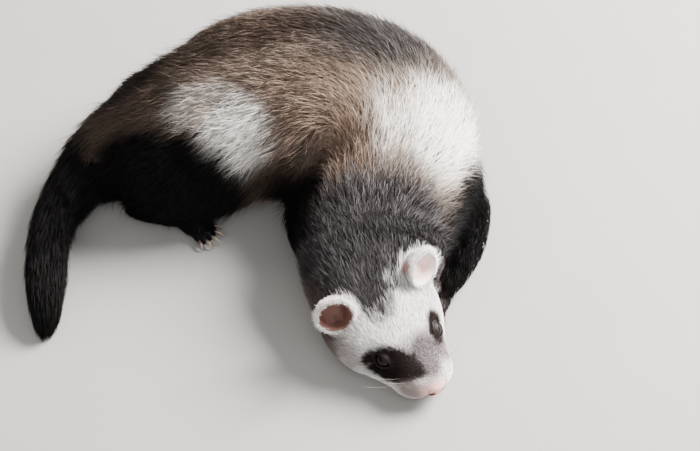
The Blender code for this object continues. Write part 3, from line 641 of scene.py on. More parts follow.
def make_body():
    """(body without head, its coat's fields on each vertex): the solids drawn in by the coat's depth."""
    pieces, labels = [], []
    for name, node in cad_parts.items():
        start = next((part for part in COAT if name.startswith(part)), None)
        if start not in (None, "foot", "tail"):
            pieces.append(grown_copy(node))
            labels.append((name, start))
    for side in ("right", "left"):
        forms = foot_forms(FOREPAW[side], FOREPAW_SIZE)
        forms += foot_forms(HIND_FOOT[side], HIND_FOOT_SIZE, HEEL_REACH)
        pieces += forms
        labels += [("foot_" + side, "foot")] * len(forms)
    pieces.append(loft("tail", [section(s, 40, core_share(s)[0]) for s in TAIL_STATIONS]))
    labels.append(("tail", "tail"))
    sources = [places_of(piece.data) for piece in pieces]
    which = np.concatenate([np.full(len(p), i) for i, p in enumerate(sources)])
    body = joined("body", pieces)
    modified(body, "REMESH", mode="VOXEL", voxel_size=BODY_VOXEL)
    modified(body, "SMOOTH", factor=0.5, iterations=6)
    points = places_of(body.data)
    source = which[nearest(np.concatenate(sources), points)]
    fields = np.zeros((len(points), 8))
    for i, (name, part) in enumerate(labels):
        own = source == i
        if not own.any():
            continue
        fields[own, :5] = COAT[part]
        if part in STRETCH:
            fields[own, 5:7] = along_path(points[own], STRETCH[part])[1]
            fields[own, 7] = -HANG
        if name in LIMB_FLOW:
            fields[own, 5:8] = LIMB_FLOW[name]
        if part == "foot":
            heading = math.radians(nearest_foot(points[own][:, :2].mean(0) / MM)[1])
            fields[own, 5:8] = (math.cos(heading), math.sin(heading), -0.1)
    fields[:, :5] = evened(fields[:, :5], body.data, 14)
    fields[:, 5:] = evened(fields[:, 5:], body.data, 90)
    inset = evened(fields[:, :1], body.data, 20)
    moved_to(body.data, points - normals_of(body.data) * inset * MM)
    modified(body, "SMOOTH", factor=0.5, iterations=8)
    return body, fields[:, 1:]


def head_fields(points):
    """Fields of the coat on the head: tip height, length, width, closeness and lie."""
    back = behind_nose(points)
    fields = np.zeros((len(points), 7))
    for i, measure in enumerate((FACE_DEPTH, FACE_LENGTH, FACE_WIDTH, FACE_CLOSENESS)):
        fields[:, i] = along_head(measure, back)
    fields[:, 0] += FACE_TIP_HEIGHT
    fields[:, 4:7] = unit(points / MM - in_head((2.0, 0.0, 10.0)))
    fields[:, 4:6] -= 0.6 * FORWARD * smoothstep(10.0, 40.0, back)[:, None]
    return fields


def ear_fields(head, fields):
    """Gives the vertices on both ears their coat: a bare cup, and a rim and back with hair standing out."""
    points = places_of(head.data)
    for sign in (-1, 1):
        ear = ear_form(sign)
        on_ear = BVHTree.FromObject(ear, bpy.context.evaluated_depsgraph_get())
        middle, opening = ear_frame(sign)[:2]
        middle = middle * MM
        for i in np.flatnonzero(np.linalg.norm(points - middle, axis=1) < EAR_FIELD_REACH * MM):
            if on_ear.find_nearest(points[i])[3] < EAR_FIELD_GAP * MM:
                out = points[i] - middle
                depth = out.dot(opening)
                across = out - opening * depth
                inside = np.linalg.norm(across) < EAR_CUP_SHARE * EAR_SHARE * EAR_RADIUS * MM
                bare = inside and depth > -1.1 * EAR_DEPTH * MM
                fields[i] = (0.9, 3.2, 0.24, 0.0 if bare else 3.4, *(unit(across) + opening * 0.5))
        bpy.data.objects.remove(ear)


def make_skin():
    """(skin, fields of the coat on each vertex)"""
    body, body_fields = make_body()
    head = make_head()
    own_fields = head_fields(places_of(head.data))
    ear_fields(head, own_fields)
    known_at = np.concatenate([places_of(body.data), places_of(head.data)])
    known = np.concatenate([body_fields, own_fields])
    skin = carved(body, head, "UNION")
    skin.name = "skin"
    fields = known[nearest(known_at, places_of(skin.data))]
    return skin, evened(fields, skin.data, 2)


print("making the skin")
skin, coat_fields = make_skin()
print("skin", len(skin.data.vertices))


# Tufts.
class Ground:
    """The skin as the tufts need it: its nearest place, its slope and the coat's fields there."""

    def __init__(self, obj, fields):
        self.points, self.normals = places_of(obj.data), normals_of(obj.data)
        obj.data.calc_loop_triangles()
        self.faces = rows_of(obj.data.loop_triangles, "vertices", 3, np.int32)
        corners = self.points[self.faces]
        cross = np.cross(corners[:, 1] - corners[:, 0], corners[:, 2] - corners[:, 0])
        self.areas = np.linalg.norm(cross, axis=1) / 2
        self.face_fields = fields[self.faces].mean(1)
        self.face_normals = unit(self.normals[self.faces].mean(1))
        self.face_middles = corners.mean(1)
        self.tree = BVHTree.FromPolygons(self.points.tolist(), self.faces.tolist())

    def sample(self, count, weights):
        """Random roots: (places, face of each)."""
        share = self.areas * weights
        faces = draw.choice(len(self.faces), count, p=share / share.sum())
        a, b = draw.random((2, count, 1))
        flip = a + b > 1
        a, b = np.where(flip, 1 - a, a), np.where(flip, 1 - b, b)
        p, q, r = (self.points[self.faces[faces, i]] for i in range(3))
        return p + a * (q - p) + b * (r - p), faces

    def settle(self, places):
        """The skin's nearest places and their faces."""
        found = [self.tree.find_nearest(p) for p in places]
        return np.array([f[0] for f in found]), np.array([f[2] for f in found])


# The cowlicks of the coat: waves this many metres long turn its lie by up to about this many radians.
SWIRL_SIZE = 0.018
SWIRL_TURN = 0.24 * 1.6
SWIRL_WAVES = 5
SWIRL_SEED = 5


def swirl(places):
    """A smooth random turn of the coat's lie at each place."""
    waves = np.random.default_rng(SWIRL_SEED).normal(size=(SWIRL_WAVES, 3)) / SWIRL_SIZE
    phases = np.random.default_rng(SWIRL_SEED + 1).random(SWIRL_WAVES) * 2 * math.pi
    return np.sin(places @ waves.T + phases).mean(1) * SWIRL_TURN


# How wide a tuft is at each of its rings, as a share of its full width, and how thick as a share of that.
RING_WIDTHS = {2: (0.8, 1.0), 3: (0.75, 1.0, 0.8), 4: (0.7, 1.0, 0.92, 0.62)}
FLATNESS = 0.38
FLOOR_CLEARANCE = 0.0003
SUNK = 0.0003
CLUMP_SIZE = 14
CLUMP_REACH = 0.3
CLUMP_SPREAD = 0.3
SHADE_GROUP = 20
SHADE_SHARED = 0.55
# Where between its root and its tip a tuft takes its marking, and the size of its patch of the unwrap.
SEEN_AT = 0.65
PATCH = 0.003


def turned(vectors, axes, angles):
    """Vectors turned about axes that stand square to them."""
    return vectors * np.cos(angles)[:, None] + np.cross(axes, vectors) * np.sin(angles)[:, None]


def grow(
    ground, count, weights, rings,
    clump=0.35, wander=0.22, lift=(0.7, 1.0), longer=1.0, wider=1.0, rise=0.8, fray=0.0,
):
    """(centre lines, normals, widths, seeds) of tufts: stations run from root to tip along the coat's lie."""
    roots, faces = ground.sample(count, weights)
    fields = ground.face_fields[faces]
    height = fields[:, 0] * MM * draw.uniform(*lift, count)
    length = fields[:, 1] * MM * draw.uniform(0.75, 1.15, count) * longer
    width = fields[:, 2] * MM * draw.uniform(0.75, 1.25, count) * wider
    turn = draw.normal(0, wander, count) + swirl(roots)
    lines, normals = [roots - ground.face_normals[faces] * SUNK], [ground.face_normals[faces]]
    here = roots
    for k in range(1, rings + 1):
        flow = ground.face_fields[faces, 4:7]
        normal = ground.face_normals[faces]
        flow = unit(flow - normal * (flow * normal).sum(1)[:, None])
        here, faces = ground.settle(here + turned(flow, normal, turn) * (length / rings)[:, None])
        normal = ground.face_normals[faces]
        lines.append(here + normal * (height * (k / rings) ** rise)[:, None])
        normals.append(normal)
    lines, normals = np.stack(lines, 1), np.stack(normals, 1)
    return (*gathered(lines, normals, length, clump, fray), width, clumped_seeds(roots))


def leaders(roots, group):
    """For each root, the nearest of the roots drawn to lead groups of about that many."""
    centres = draw.choice(len(roots), max(1, len(roots) // group), replace=False)
    return centres[nearest(roots[centres], roots)]


def gathered(lines, normals, length, clump, fray):
    """The lines, their tips drawn towards a neighbour's by clump, then strewn by fray of their length."""
    count, stations = lines.shape[:2]
    t = np.linspace(0, 1, stations)[None, :, None]
    roots = lines[:, 0]
    chosen = leaders(roots, CLUMP_SIZE)
    apart = roots - roots[chosen]
    close = np.linalg.norm(apart, axis=1) < CLUMP_REACH * length
    target = lines[chosen] + apart[:, None] * CLUMP_SPREAD
    lines = lines + (target - lines) * clump * t**1.5 * close[:, None, None]
    strewn = draw.normal(0, 1, (count, 1, 3)) * length[:, None, None] * fray
    strewn = strewn - np.minimum((strewn * normals).sum(-1, keepdims=True), 0.0) * normals
    return lines + strewn * t**2, normals


def clumped_seeds(roots):
    """A number from 0 to 1 for each root, partly shared by roots that stand together."""
    own = draw.random(len(roots))
    return own * (1 - SHADE_SHARED) + own[leaders(roots, SHADE_GROUP)] * SHADE_SHARED


def tufts(name, lines, normals, width, seeds, material, low, high):
    """One mesh of closed three-sided tapered tufts along the lines."""
    n, stations = lines.shape[:2]
    rings = stations - 1
    along = unit(np.gradient(lines, axis=1))
    side = unit(np.cross(along, normals))
    up = np.cross(side, along)
    shares = np.array(RING_WIDTHS[rings])[None, :, None]
    half = width[:, None, None] / 2 * shares
    corners = np.stack([
        lines[:, :rings] + side[:, :rings] * half,
        lines[:, :rings] - side[:, :rings] * half,
        lines[:, :rings] + up[:, :rings] * half * 2 * FLATNESS,
    ], 2)
    verts = np.concatenate([corners.reshape(n, rings * 3, 3), lines[:, -1:]], 1)
    verts = np.clip(verts, low, high)
    per = rings * 3 + 1
    faces = [(0, 1, 2)]
    for k in range(rings - 1):
        for i in range(3):
            j = (i + 1) % 3
            a, b = k * 3 + i, k * 3 + j
            faces += [(b, a, a + 3), (b, a + 3, b + 3)]
    last = (rings - 1) * 3
    faces += [(last + (i + 1) % 3, last + i, per - 1) for i in range(3)]
    faces = np.array(faces)
    index = (faces[None] + (np.arange(n) * per)[:, None, None]).reshape(-1, 3)
    mesh = bpy.data.meshes.new(name)
    mesh.vertices.add(n * per)
    mesh.vertices.foreach_set("co", verts.astype(np.float32).ravel())
    mesh.loops.add(len(index) * 3)
    mesh.loops.foreach_set("vertex_index", index.astype(np.int32).ravel())
    mesh.polygons.add(len(index))
    mesh.polygons.foreach_set("loop_start", (np.arange(len(index)) * 3).astype(np.int32))
    mesh.update(calc_edges=True)
    t = np.append(np.repeat(np.arange(rings) / rings, 3), 1.0)
    seen = lines[:, 0] * (1 - SEEN_AT) + lines[:, -1] * SEEN_AT
    marked(mesh, np.repeat(seen, per, axis=0), np.tile(t, n), np.repeat(seeds, per))
    root = unwrapped(lines[:, 0])
    patch = np.column_stack([np.append(np.tile((-0.5, 0.5, 0.0), rings), 0.0), t - 0.5]) * PATCH
    uv = (root[:, None] + patch[None]).reshape(-1, 2)[index.ravel()]
    layer = mesh.uv_layers.new(name="OFBake")
    layer.uv.foreach_set("vector", np.clip(uv, 0.0, 1.0).astype(np.float32).ravel())
    mesh.shade_smooth()
    piece = linked(name, mesh)
    mesh.materials.append(material)
    return piece


def unwrapped(places):
    """Each place on an unwrap of the skin: along the body by the angle round it."""
    s, back = along_path(places, (-2.0, 424.0))
    middle = route_at(s)[0]
    out = ((places[:, :2] / MM - middle) * left_of(back)).sum(1)
    height = hermite(SECTIONS[:, 0], SECTIONS[:, 1:], s)[:, 1:].mean(1)
    angle = np.arctan2(out, places[:, 2] / MM - height * 0.8)
    return np.column_stack([0.02 + 0.96 * s / 424.0, 0.5 + 0.48 * angle / math.pi])


def marked(mesh, place, t, seed):
    """Stores what the finishes read: a place, how far along its tuft it is, and a number of its own."""
    for name, kind, key, values in (
        ("place", "FLOAT_VECTOR", "vector", place),
        ("t", "FLOAT", "value", t),
        ("seed", "FLOAT", "value", seed),
    ):
        data = mesh.attributes.new(name, kind, "POINT").data
        data.foreach_set(key, values.astype(np.float32).ravel())


# Finishes.
class Wire:
    """A shader socket that plain arithmetic works on: an expression adds its Math nodes."""

    def __init__(self, finish, socket):
        self.finish, self.socket = finish, socket

    def math(self, operation, first, second, clamp=False):
        settings = {"operation": operation, "use_clamp": clamp}
        return self.finish.node("ShaderNodeMath", settings, {0: first, 1: second})

    def __add__(self, other):
        return self.math("ADD", self, other)

    __radd__ = __add__

    def __sub__(self, other):
        return self.math("SUBTRACT", self, other)

    def __rsub__(self, other):
        return self.math("SUBTRACT", other, self)

    def __mul__(self, other):
        return self.math("MULTIPLY", self, other)

    __rmul__ = __mul__

    def held(self):
        """Kept between 0 and 1."""
        return self.math("ADD", self, 0.0, clamp=True)

    def most(self, other):
        return self.math("MAXIMUM", self, other)

    def step(self, low, high):
        """0 up to low, 1 from high on, and smooth between, also where low is the greater."""
        ends = {"Value": self, "From Min": low, "From Max": high}
        if low > high:
            ends = {"Value": self, "From Min": high, "From Max": low, "To Min": 1.0, "To Max": 0.0}
        return self.finish.node("ShaderNodeMapRange", {"interpolation_type": "SMOOTHSTEP"}, ends)


class Finish:
    """A material whose nodes are added by one method."""

    def __init__(self, name):
        self.material = bpy.data.materials.new(name)
        self.material.use_nodes = True
        self.tree = self.material.node_tree
        self.shader = self.tree.nodes["Principled BSDF"]

    def fill(self, node, inputs):
        """Gives a node's sockets their values or wires."""
        for name, value in inputs.items():
            if isinstance(value, Wire):
                self.tree.links.new(value.socket, node.inputs[name])
            else:
                node.inputs[name].default_value = value

    def node(self, kind, settings=None, inputs=None, out=0):
        """Adds a node, makes its settings, then fills its sockets."""
        added = self.tree.nodes.new(kind)
        for name, value in (settings or {}).items():
            setattr(added, name, value)
        self.fill(added, inputs or {})
        return Wire(self, added.outputs[out])

    def surface(self, **inputs):
        """Fills the shader's own sockets, whose names are given with _ for each space."""
        self.fill(self.shader, {name.replace("_", " "): value for name, value in inputs.items()})

    def attribute(self, name, out):
        return self.node("ShaderNodeAttribute", {"attribute_name": name}, out=out)

    def colour(self, value):
        return value if isinstance(value, Wire) else (*value, 1.0)

    def mixed(self, share, under, over):
        """The colour under, with over laid on it by share."""
        kind = {"data_type": "RGBA"}
        inputs = {0: share, 6: self.colour(under), 7: self.colour(over)}
        return self.node("ShaderNodeMix", kind, inputs, out=2)

    def vector(self, operation, *values, out=0):
        return self.node("ShaderNodeVectorMath", {"operation": operation}, dict(enumerate(values)), out)

    def scaled(self, vector, share):
        """A vector or colour times a number or wire."""
        return self.node("ShaderNodeVectorMath", {"operation": "SCALE"}, {0: vector, "Scale": share})

    def along(self, place, direction):
        """How many millimetres past the nose tip a place lies, along a level direction."""
        out = self.vector("DOT_PRODUCT", place, (*direction, 0.0), out=1)
        return (out - float(direction.dot(NOSE)) * MM) * (1 / MM)

    def noise(self, place, size, detail=2.0, out=0):
        """Noise whose lumps are about that many metres across."""
        inputs = {"Vector": place, "Scale": 1.0 / size, "Detail": detail}
        return self.node("ShaderNodeTexNoise", None, inputs, out)

    def bump(self, height, strength, distance):
        inputs = {"Strength": strength, "Distance": distance, "Height": height}
        return self.node("ShaderNodeBump", None, inputs)

    def near(self, place, middle, radii, turn_deg=0.0, soft=0.35):
        """1 inside an egg, or a ball of one radius, and 0 well outside it."""
        shift = self.vector("SUBTRACT", place, [c * MM for c in middle])
        if turn_deg:
            turn = {"Vector": shift, "Angle": math.radians(-turn_deg)}
            shift = self.node("ShaderNodeVectorRotate", {"rotation_type": "Z_AXIS"}, turn)
        share = self.vector("DIVIDE", shift, [r * MM for r in np.broadcast_to(radii, 3)])
        return self.vector("LENGTH", share, out=1).step(1.0 + soft, 1.0 - soft)


# Colours of the coat, as linear RGB.
WHITE = (0.90, 0.87, 0.83)
PURE = (0.95, 0.94, 0.925)
CREAM = (0.385, 0.295, 0.235)
TAN = (0.215, 0.147, 0.111)
# Reddish brown, darkened as painted shade for the crook of the curl.
RUST_SHADE = (0.13, 0.068, 0.042)
UMBER = (0.042, 0.029, 0.023)
GREY = (0.07, 0.062, 0.06)
SLATE = (0.03, 0.027, 0.028)
PALE_TIP = (0.21, 0.2, 0.202)
BLACK = (0.005, 0.0045, 0.0047)
MASK = (0.017, 0.0105, 0.0095)
LILAC = (0.165, 0.132, 0.138)
PINK = (0.70, 0.45, 0.43)
PINK_DEEP = (0.58, 0.30, 0.28)
# Ear linings, the next four: all but the pale one are painted shade, deep in the cups and over the right ear.
EAR_RED_SHADE = (0.045, 0.015, 0.011)
EAR_ROSE_SHADE = (0.5, 0.3, 0.27)
EAR_PALE = (0.8, 0.64, 0.61)
EAR_BRICK_SHADE = (0.15, 0.07, 0.057)
LID = (0.009, 0.006, 0.0055)
# Painted shade inside the nostrils.
NOSTRIL_SHADE = (0.09, 0.025, 0.022)
EYE_DARK = (0.004, 0.003, 0.003)
IRIS = (0.009, 0.005, 0.004)
HORN_ROOT = (0.08, 0.05, 0.038)
HORN = (0.30, 0.24, 0.19)
WHISKER_ROOT = (0.16, 0.12, 0.11)
WHISKER = (0.62, 0.58, 0.53)
WARM = (0.30, 0.20, 0.145)
PATCH_ROOT = (0.66, 0.57, 0.48)
FACE_ROOT = (0.84, 0.80, 0.775)
# Painted shade for the lower cheeks.
CHEEK_SHADE = (0.27, 0.2, 0.17)
# The right ear's fur: pinkish tint and painted shade.
EAR_BACK_TINT_SHADE = (0.5, 0.38, 0.34)
# Painted light shining through the left ear's thin edge.
EAR_EDGE_GLOW = (0.5, 0.2, 0.17)
# Painted shade for the upper lip.
LIP_SHADE = (0.3, 0.215, 0.205)
MUZZLE = (0.74, 0.5, 0.475)
FLOOR_DARK = (0.33, 0.32, 0.305)
FLOOR_PALE = (0.355, 0.343, 0.33)


def head_spot(forward, left, up):
    """A place in the head's frame, from three numbers."""
    return in_head((forward, left, up))


def coat_colour(finish, place, t, seed):
    """The coat's markings at a place, for a tuft's share of its length and its own random number."""
    warp = finish.noise(place, 0.011, out=1)
    warp = finish.scaled(finish.vector("SUBTRACT", warp, (0.5, 0.5, 0.5)), 0.014)
    spot = finish.vector("ADD", place, warp)
    fine = finish.noise(place, 0.0035, 3.0)
    patchy = finish.noise(place, 0.02)

    def near(middle, radii, turn_deg=0.0, soft=0.35):
        return finish.near(spot, middle, radii, turn_deg, soft)

    # Torso: cream and tan underneath, under umber guard hairs.
    guard = (seed + (patchy - 0.5) * 0.9).step(0.38, 0.62)
    torso = finish.mixed(t.step(0.1, 0.9), TAN, CREAM)
    colour = finish.mixed(guard * t.step(0.1, 0.7) * 0.68, torso, UMBER)
    dusk = finish.mixed(seed.step(0.45, 0.8) * 0.35, UMBER, TAN)
    frosted = t.step(0.25, 0.95) * (seed + (fine - 0.5) * 0.6).step(0.5, 0.75)
    frost = finish.mixed(frosted * 0.8, SLATE, PALE_TIP)
    outer = near((62.0, 72.0, 76.0), (46.0, 27.0, 44.0), -16.0, 0.4)
    edge = near((-18.0, 66.0, 66.0), (62.0, 18.0, 34.0), 8.0)
    hip = near((-66.0, 36.0, 52.0), (36.0, 34.0, 42.0), 10.0)
    gap = near((10.0, 14.0, 66.0), (8.0, 14.0, 22.0), -20.0)
    inner_shade = near((8.0, -6.0, 40.0), (34.0, 14.0, 24.0))
    rust_shade = near((48.0, 4.0, 66.0), (16.0, 14.0, 18.0), soft=0.5)
    warm = near((28.0, 24.0, 78.0), (26.0, 22.0, 24.0))
    colour = finish.mixed(warm * 0.35, colour, WARM)
    colour = finish.mixed(outer * 0.92, colour, frost)
    hem_shadow = near((-70.0, 52.0, 56.0), (28.0, 13.0, 32.0), 20.0)
    # Darker brown fur along the back's edge, at the hip and by the flank patch; low on the inner side it is
    # painted shade over browner fur.
    colour = finish.mixed(edge.most(hip).most(inner_shade).most(gap * 0.55) * 0.85, colour, dusk)
    # Painted shade: near black along the outer back edge above the hip, where it falls in shadow.
    colour = finish.mixed(hem_shadow * 0.78, colour, BLACK)
    # Reddish brown in the crook of the curl: browner fur, darkened as painted shade.
    colour = finish.mixed(rust_shade * 0.42, colour, RUST_SHADE)
    # White shoulder and flank patches, streaked at their edges.
    white = finish.mixed((t * 0.8 + fine * 0.5).step(0.1, 0.7), PATCH_ROOT, WHITE)
    wisps = (seed + (fine - 0.5) * 0.6).step(0.3, 0.55)
    shoulder = near((98.0, 13.0, 66.0), (22.0, 28.0, 32.0))
    streaks = near((84.0, 15.0, 72.0), (25.0, 24.0, 26.0), soft=0.4) * wisps
    flank = near((-12.0, 9.0, 66.0), (16.0, 19.0, 28.0), -20.0)
    flank_streaks = near((-25.0, 21.0, 75.0), (21.0, 15.0, 24.0), -14.0, 0.4) * (0.15 + wisps * 0.45)
    colour = finish.mixed(shoulder.most(streaks * 0.85), colour, white)
    colour = finish.mixed(flank.most(flank_streaks), colour, white)
    # Neck: dark grey, salted with pale tips, more so towards the shoulder.
    salt = (seed + (fine - 0.5) * 0.7).step(0.5, 0.8) * t.step(0.3, 0.85)
    pepper = finish.mixed(t.step(0.0, 0.6), GREY, SLATE)
    band = near((66.0, -8.0, 68.0), (34.0, 16.0, 22.0), soft=0.5)
    pepper = finish.mixed(salt * (0.38 + band * 0.3), pepper, PALE_TIP)
    neck = near((58.0, -41.0, 42.0), (48.0, 37.0, 46.0), soft=0.26)
    crown = near(head_spot(-48.0, 5.0, 24.0), (24.0, 43.0, 40.0), HEAD_TURN_DEG, 0.2)
    colour = finish.mixed((neck * (1 - shoulder * 0.7)).most(crown), colour, pepper)
    # Black haunches, legs and tail.
    right_leg = near((-53.0, -8.0, 26.0), (53.0, 34.5, 51.0), soft=0.14)
    left_leg = near((-58.0, 88.0, 14.0), (46.0, 22.0, 34.0), soft=0.25)
    tail = near((-114.0, -36.0, 16.0), (32.0, 90.0, 50.0), -8.0, 0.15)
    left_arm = near((114.0, -26.0, 16.0), (22.0, 40.0, 46.0), soft=0.2)
    right_arm = near((20.0, -14.0, 20.0), (26.0, 26.0, 34.0), soft=0.25)
    left_paw = finish.near(place, (92.0, -54.0, 3.0), (14.0, 18.0, 9.5), soft=0.15)
    paws = near((37.0, -41.0, 4.0), (19.0, 17.0, 13.0)).most(left_paw)
    dark = right_leg.most(left_leg).most(tail).most(left_arm).most(right_arm).most(paws)
    black = finish.mixed(t.step(0.4, 1.0) * seed.step(0.7, 0.9) * 0.35, BLACK, UMBER)
    colour = finish.mixed(dark, colour, black)
    # Head: places forward of the nose tip and to the left, in millimetres.
    forward = finish.along(spot, FORWARD)
    left = finish.along(spot, LEFT)
    off = left + 6.0
    peak = (off * off * -0.09 - 37.0).most(-50.0)
    head_zone = near(head_spot(-22.0, 0.0, 16.0), (38.0, 37.0, 48.0), HEAD_TURN_DEG, 0.1)
    face = (forward - peak + (fine + seed * 1.3 - 1.15) * 12.0).step(-8.5, 6.5)
    face = face * head_zone * (1 - left_paw)
    for sign in (-1, 1):
        face = face.most(finish.near(place, ear_frame(sign)[0], 13.5, soft=0.12))
    pure = finish.mixed(fine.step(0.3, 0.7), FACE_ROOT, PURE)
    colour = finish.mixed(face, colour, pure)
    # Painted shade, warm tan grey, low on the cheeks, strongest on the right.
    for sign in (-1, 1):
        cheek_shade = near(head_spot(-39.0, 31.0 * sign, 15.0), (14.0, 9.0, 13.0), HEAD_TURN_DEG)
        colour = finish.mixed(cheek_shade * (0.5 if sign < 0 else 0.12), colour, CHEEK_SHADE)
    # Pinkish tan blotches on the right ear's fur: its own pinkish tint and painted shade.
    right_ear = finish.near(place, ear_frame(-1)[0], 12.5, soft=0.1)
    colour = finish.mixed(right_ear * fine.step(0.2, 0.8) * 0.45, colour, EAR_BACK_TINT_SHADE)
    # Painted light: red where light shines through the thin edge of the left ear.
    ear_edge_glow = finish.near(place, (74.4, -56.5, 43.0), (2.4, 5.0, 4.5), soft=0.4)
    colour = finish.mixed(ear_edge_glow * 0.75, colour, EAR_EDGE_GLOW)

    slight = finish.vector("ADD", place, finish.scaled(warp, 0.25))

    def on_face(middle, radii, turn_deg=0.0, soft=0.3):
        return finish.near(slight, middle, radii, turn_deg, soft)

    def ragged(share):
        return (share + (fine * 1.4 + seed - 1.15) * 0.5).step(0.15, 0.8)

    # Mask, bridge, painted shade on the lip, and the pink skin by the nose.
    bridge = on_face((85.0, -93.5, 22.0), (8.5, 13.0, 9.5), 20.0, 0.4)
    ridge = on_face(head_spot(-19.0, -3.0, 25.0), (6.0, 7.0, 7.0), HEADING_DEG, 0.4)
    mask = on_face((66.5, -97.8, 19.3), (15.2, 8.8, 9.6), soft=0.4)
    inner_mask = on_face((75.0, -101.0, 20.0), (9.6, 6.2, 6.8), soft=0.5)
    far_mask = on_face((91.0, -77.5, 22.0), (7.0, 9.0, 9.5), soft=0.4)
    far_inner = on_face((93.5, -83.5, 17.0), (7.5, 10.0, 10.5), soft=0.4)
    lip = on_face((77.0, -108.0, 13.0), (8.5, 5.0, 5.0), soft=0.45)
    colour = finish.mixed(bridge.most(ridge * 0.5) * 0.95, colour, LILAC)
    colour = finish.mixed(far_inner * 0.85, colour, LILAC)
    colour = finish.mixed(ragged(mask.most(inner_mask * 0.92).most(far_mask)), colour, MASK)
    # Painted shade along the upper lip on the right side.
    colour = finish.mixed(lip * 0.8, colour, LIP_SHADE)
    muzzle = on_face(head_spot(0.5, -2.0, 10.0), (7.5, 9.5, 7.5), HEADING_DEG, 0.45)
    return finish.mixed(muzzle * 0.85, colour, MUZZLE)


def fur_finish():
    """The tufts: the coat's markings, shaded towards the root and a little from tuft to tuft."""
    finish = Finish("fur")
    place = finish.attribute("place", 1)
    t, seed = finish.attribute("t", 2), finish.attribute("seed", 2)
    colour = coat_colour(finish, place, t, seed)
    shade = (0.68 + 0.36 * t.step(0.0, 0.5)) * (0.88 + 0.2 * seed)
    colour = finish.scaled(colour, shade)
    finish.surface(Base_Color=colour, Roughness=0.5, Specular_IOR_Level=0.07)
    return finish.material


def skin_finish():
    """Short fur and bare skin: the coat's markings under painted shade, bare pink nose, red ear cups, fine
    hair as bump; painted shade deep in the cups, over the right ear and in the nostrils.
    """
    finish = Finish("skin")
    place = finish.attribute("place", 1)
    t, seed = finish.attribute("t", 2), finish.attribute("seed", 2)
    # The coat's markings, darkened to 0.62 as painted shade where the skin shows between the tufts.
    colour = finish.scaled(coat_colour(finish, place, t, seed), 0.62)
    for sign in (-1, 1):
        middle, opening = ear_frame(sign)[:2]
        cup = finish.near(place, middle, 9.2, soft=0.1)
        out = finish.vector("DOT_PRODUCT", place, opening, out=1) - float(opening.dot(middle)) * MM
        # Painted shade: the lining darkens deep in the cup, and the right ear's lining is a darker, shaded
        # copy of the left's.
        deep_shade, shallow = (EAR_RED_SHADE, EAR_BRICK_SHADE) if sign < 0 else (EAR_ROSE_SHADE, EAR_PALE)
        # Blotches, and paler towards the back of the head.
        blotchy_paler_behind = finish.noise(place, 0.0045, 3.0) + (finish.along(place, FORWARD) + 46.0) * -0.05 - 0.5
        lining = finish.mixed(out.step(-0.0058, -0.0008).most((blotchy_paler_behind * 2.5).held()), deep_shade, shallow)
        colour = finish.mixed(cup * out.step(-0.0085, -0.0065), colour, lining)
        lid = finish.near(place, eye_frame(sign)[0], 6.4, soft=0.1)
        colour = finish.mixed(lid, colour, LID)
    pad = finish.near(place, in_head(NOSE_PAD[0]), (4.8, 6.6, 5.0), HEAD_TURN_DEG, 0.12)
    mottle = finish.mixed(finish.noise(place, 0.0012).step(0.35, 0.7), PINK, PINK_DEEP)
    colour = finish.mixed(pad, colour, mottle)
    # Painted shade, dark rose, inside the nostrils.
    for sign in (-1, 1):
        hole = finish.near(place, in_head(mirrored(NOSTRIL[1], sign)), (1.6, 1.8, 1.3), soft=0.3)
        colour = finish.mixed(hole, colour, NOSTRIL_SHADE)
    bump = finish.bump(finish.noise(place, 0.0007), 0.35, 0.0003)
    finish.surface(Base_Color=colour, Roughness=0.55 - pad * 0.22, Normal=bump)
    finish.surface(Subsurface_Weight=0.08, Subsurface_Scale=0.002, Specular_IOR_Level=0.2)
    return finish.material


def eye_finish():
    """A wet black-brown eye, paler round its iris."""
    finish = Finish("eye")
    place = finish.attribute("place", 1)
    colour = EYE_DARK
    for sign in (-1, 1):
        middle, gaze = eye_frame(sign)[:2]
        front = middle + gaze * EYE_RADIUS
        iris = finish.near(place, front, 3.1, soft=0.12)
        pupil = finish.near(place, front, 1.7, soft=0.15)
        colour = finish.mixed(iris * (1 - pupil), colour, IRIS)
    finish.surface(Base_Color=colour, Roughness=0.1, Coat_Weight=0.12)
    finish.surface(Coat_Roughness=0.03, Specular_IOR_Level=0.08)
    return finish.material


def horn_finish():
    """Pale horn, darker at its root."""
    finish = Finish("claw")
    place = finish.attribute("place", 1)
    along = finish.attribute("t", 2)
    streak = finish.noise(place, 0.0006)
    colour = finish.mixed((along + streak * 0.4).step(0.2, 0.9), HORN_ROOT, HORN)
    finish.surface(Base_Color=colour, Roughness=0.32, Normal=finish.bump(streak, 0.2, 0.0002))
    return finish.material


def whisker_finish():
    finish = Finish("whisker")
    along = finish.attribute("t", 2)
    colour = finish.mixed(along.step(0.0, 0.9), WHISKER_ROOT, WHISKER)
    finish.surface(Base_Color=colour, Roughness=0.35)
    return finish.material


# Pieces.
BOX_MARGIN = 0.0004
low = np.array(cad_box[0]) + BOX_MARGIN
high = np.array(cad_box[1]) - BOX_MARGIN
low[2] = FLOOR_CLEARANCE


def above_floor(points):
    """The points, none of them lower than the coat may come to the floor."""
    return np.column_stack([points[:, :2], np.maximum(points[:, 2], FLOOR_CLEARANCE)])


def dressed(obj, material):
    """Gives a smooth-shaded piece its one material."""
    obj.data.shade_smooth()
    obj.data.materials.clear()
    obj.data.materials.append(material)


flesh = [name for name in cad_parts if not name.startswith("eye")]
skin_points = places_of(skin.data)
moved_to(skin.data, above_floor(skin_points))
dressed(skin, skin_finish())
ones = np.ones(len(skin_points))
marked(skin.data, skin_points, ones * 0.5, ones * 0.4)
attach(skin, "root")
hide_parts(*flesh)

# Bare ground, as distances from the eyes' and the nose pad's middles and as height over the floor.
EYE_BARE = 5.28
PAD_BARE = 6.2
FLOOR_BARE = 1.2
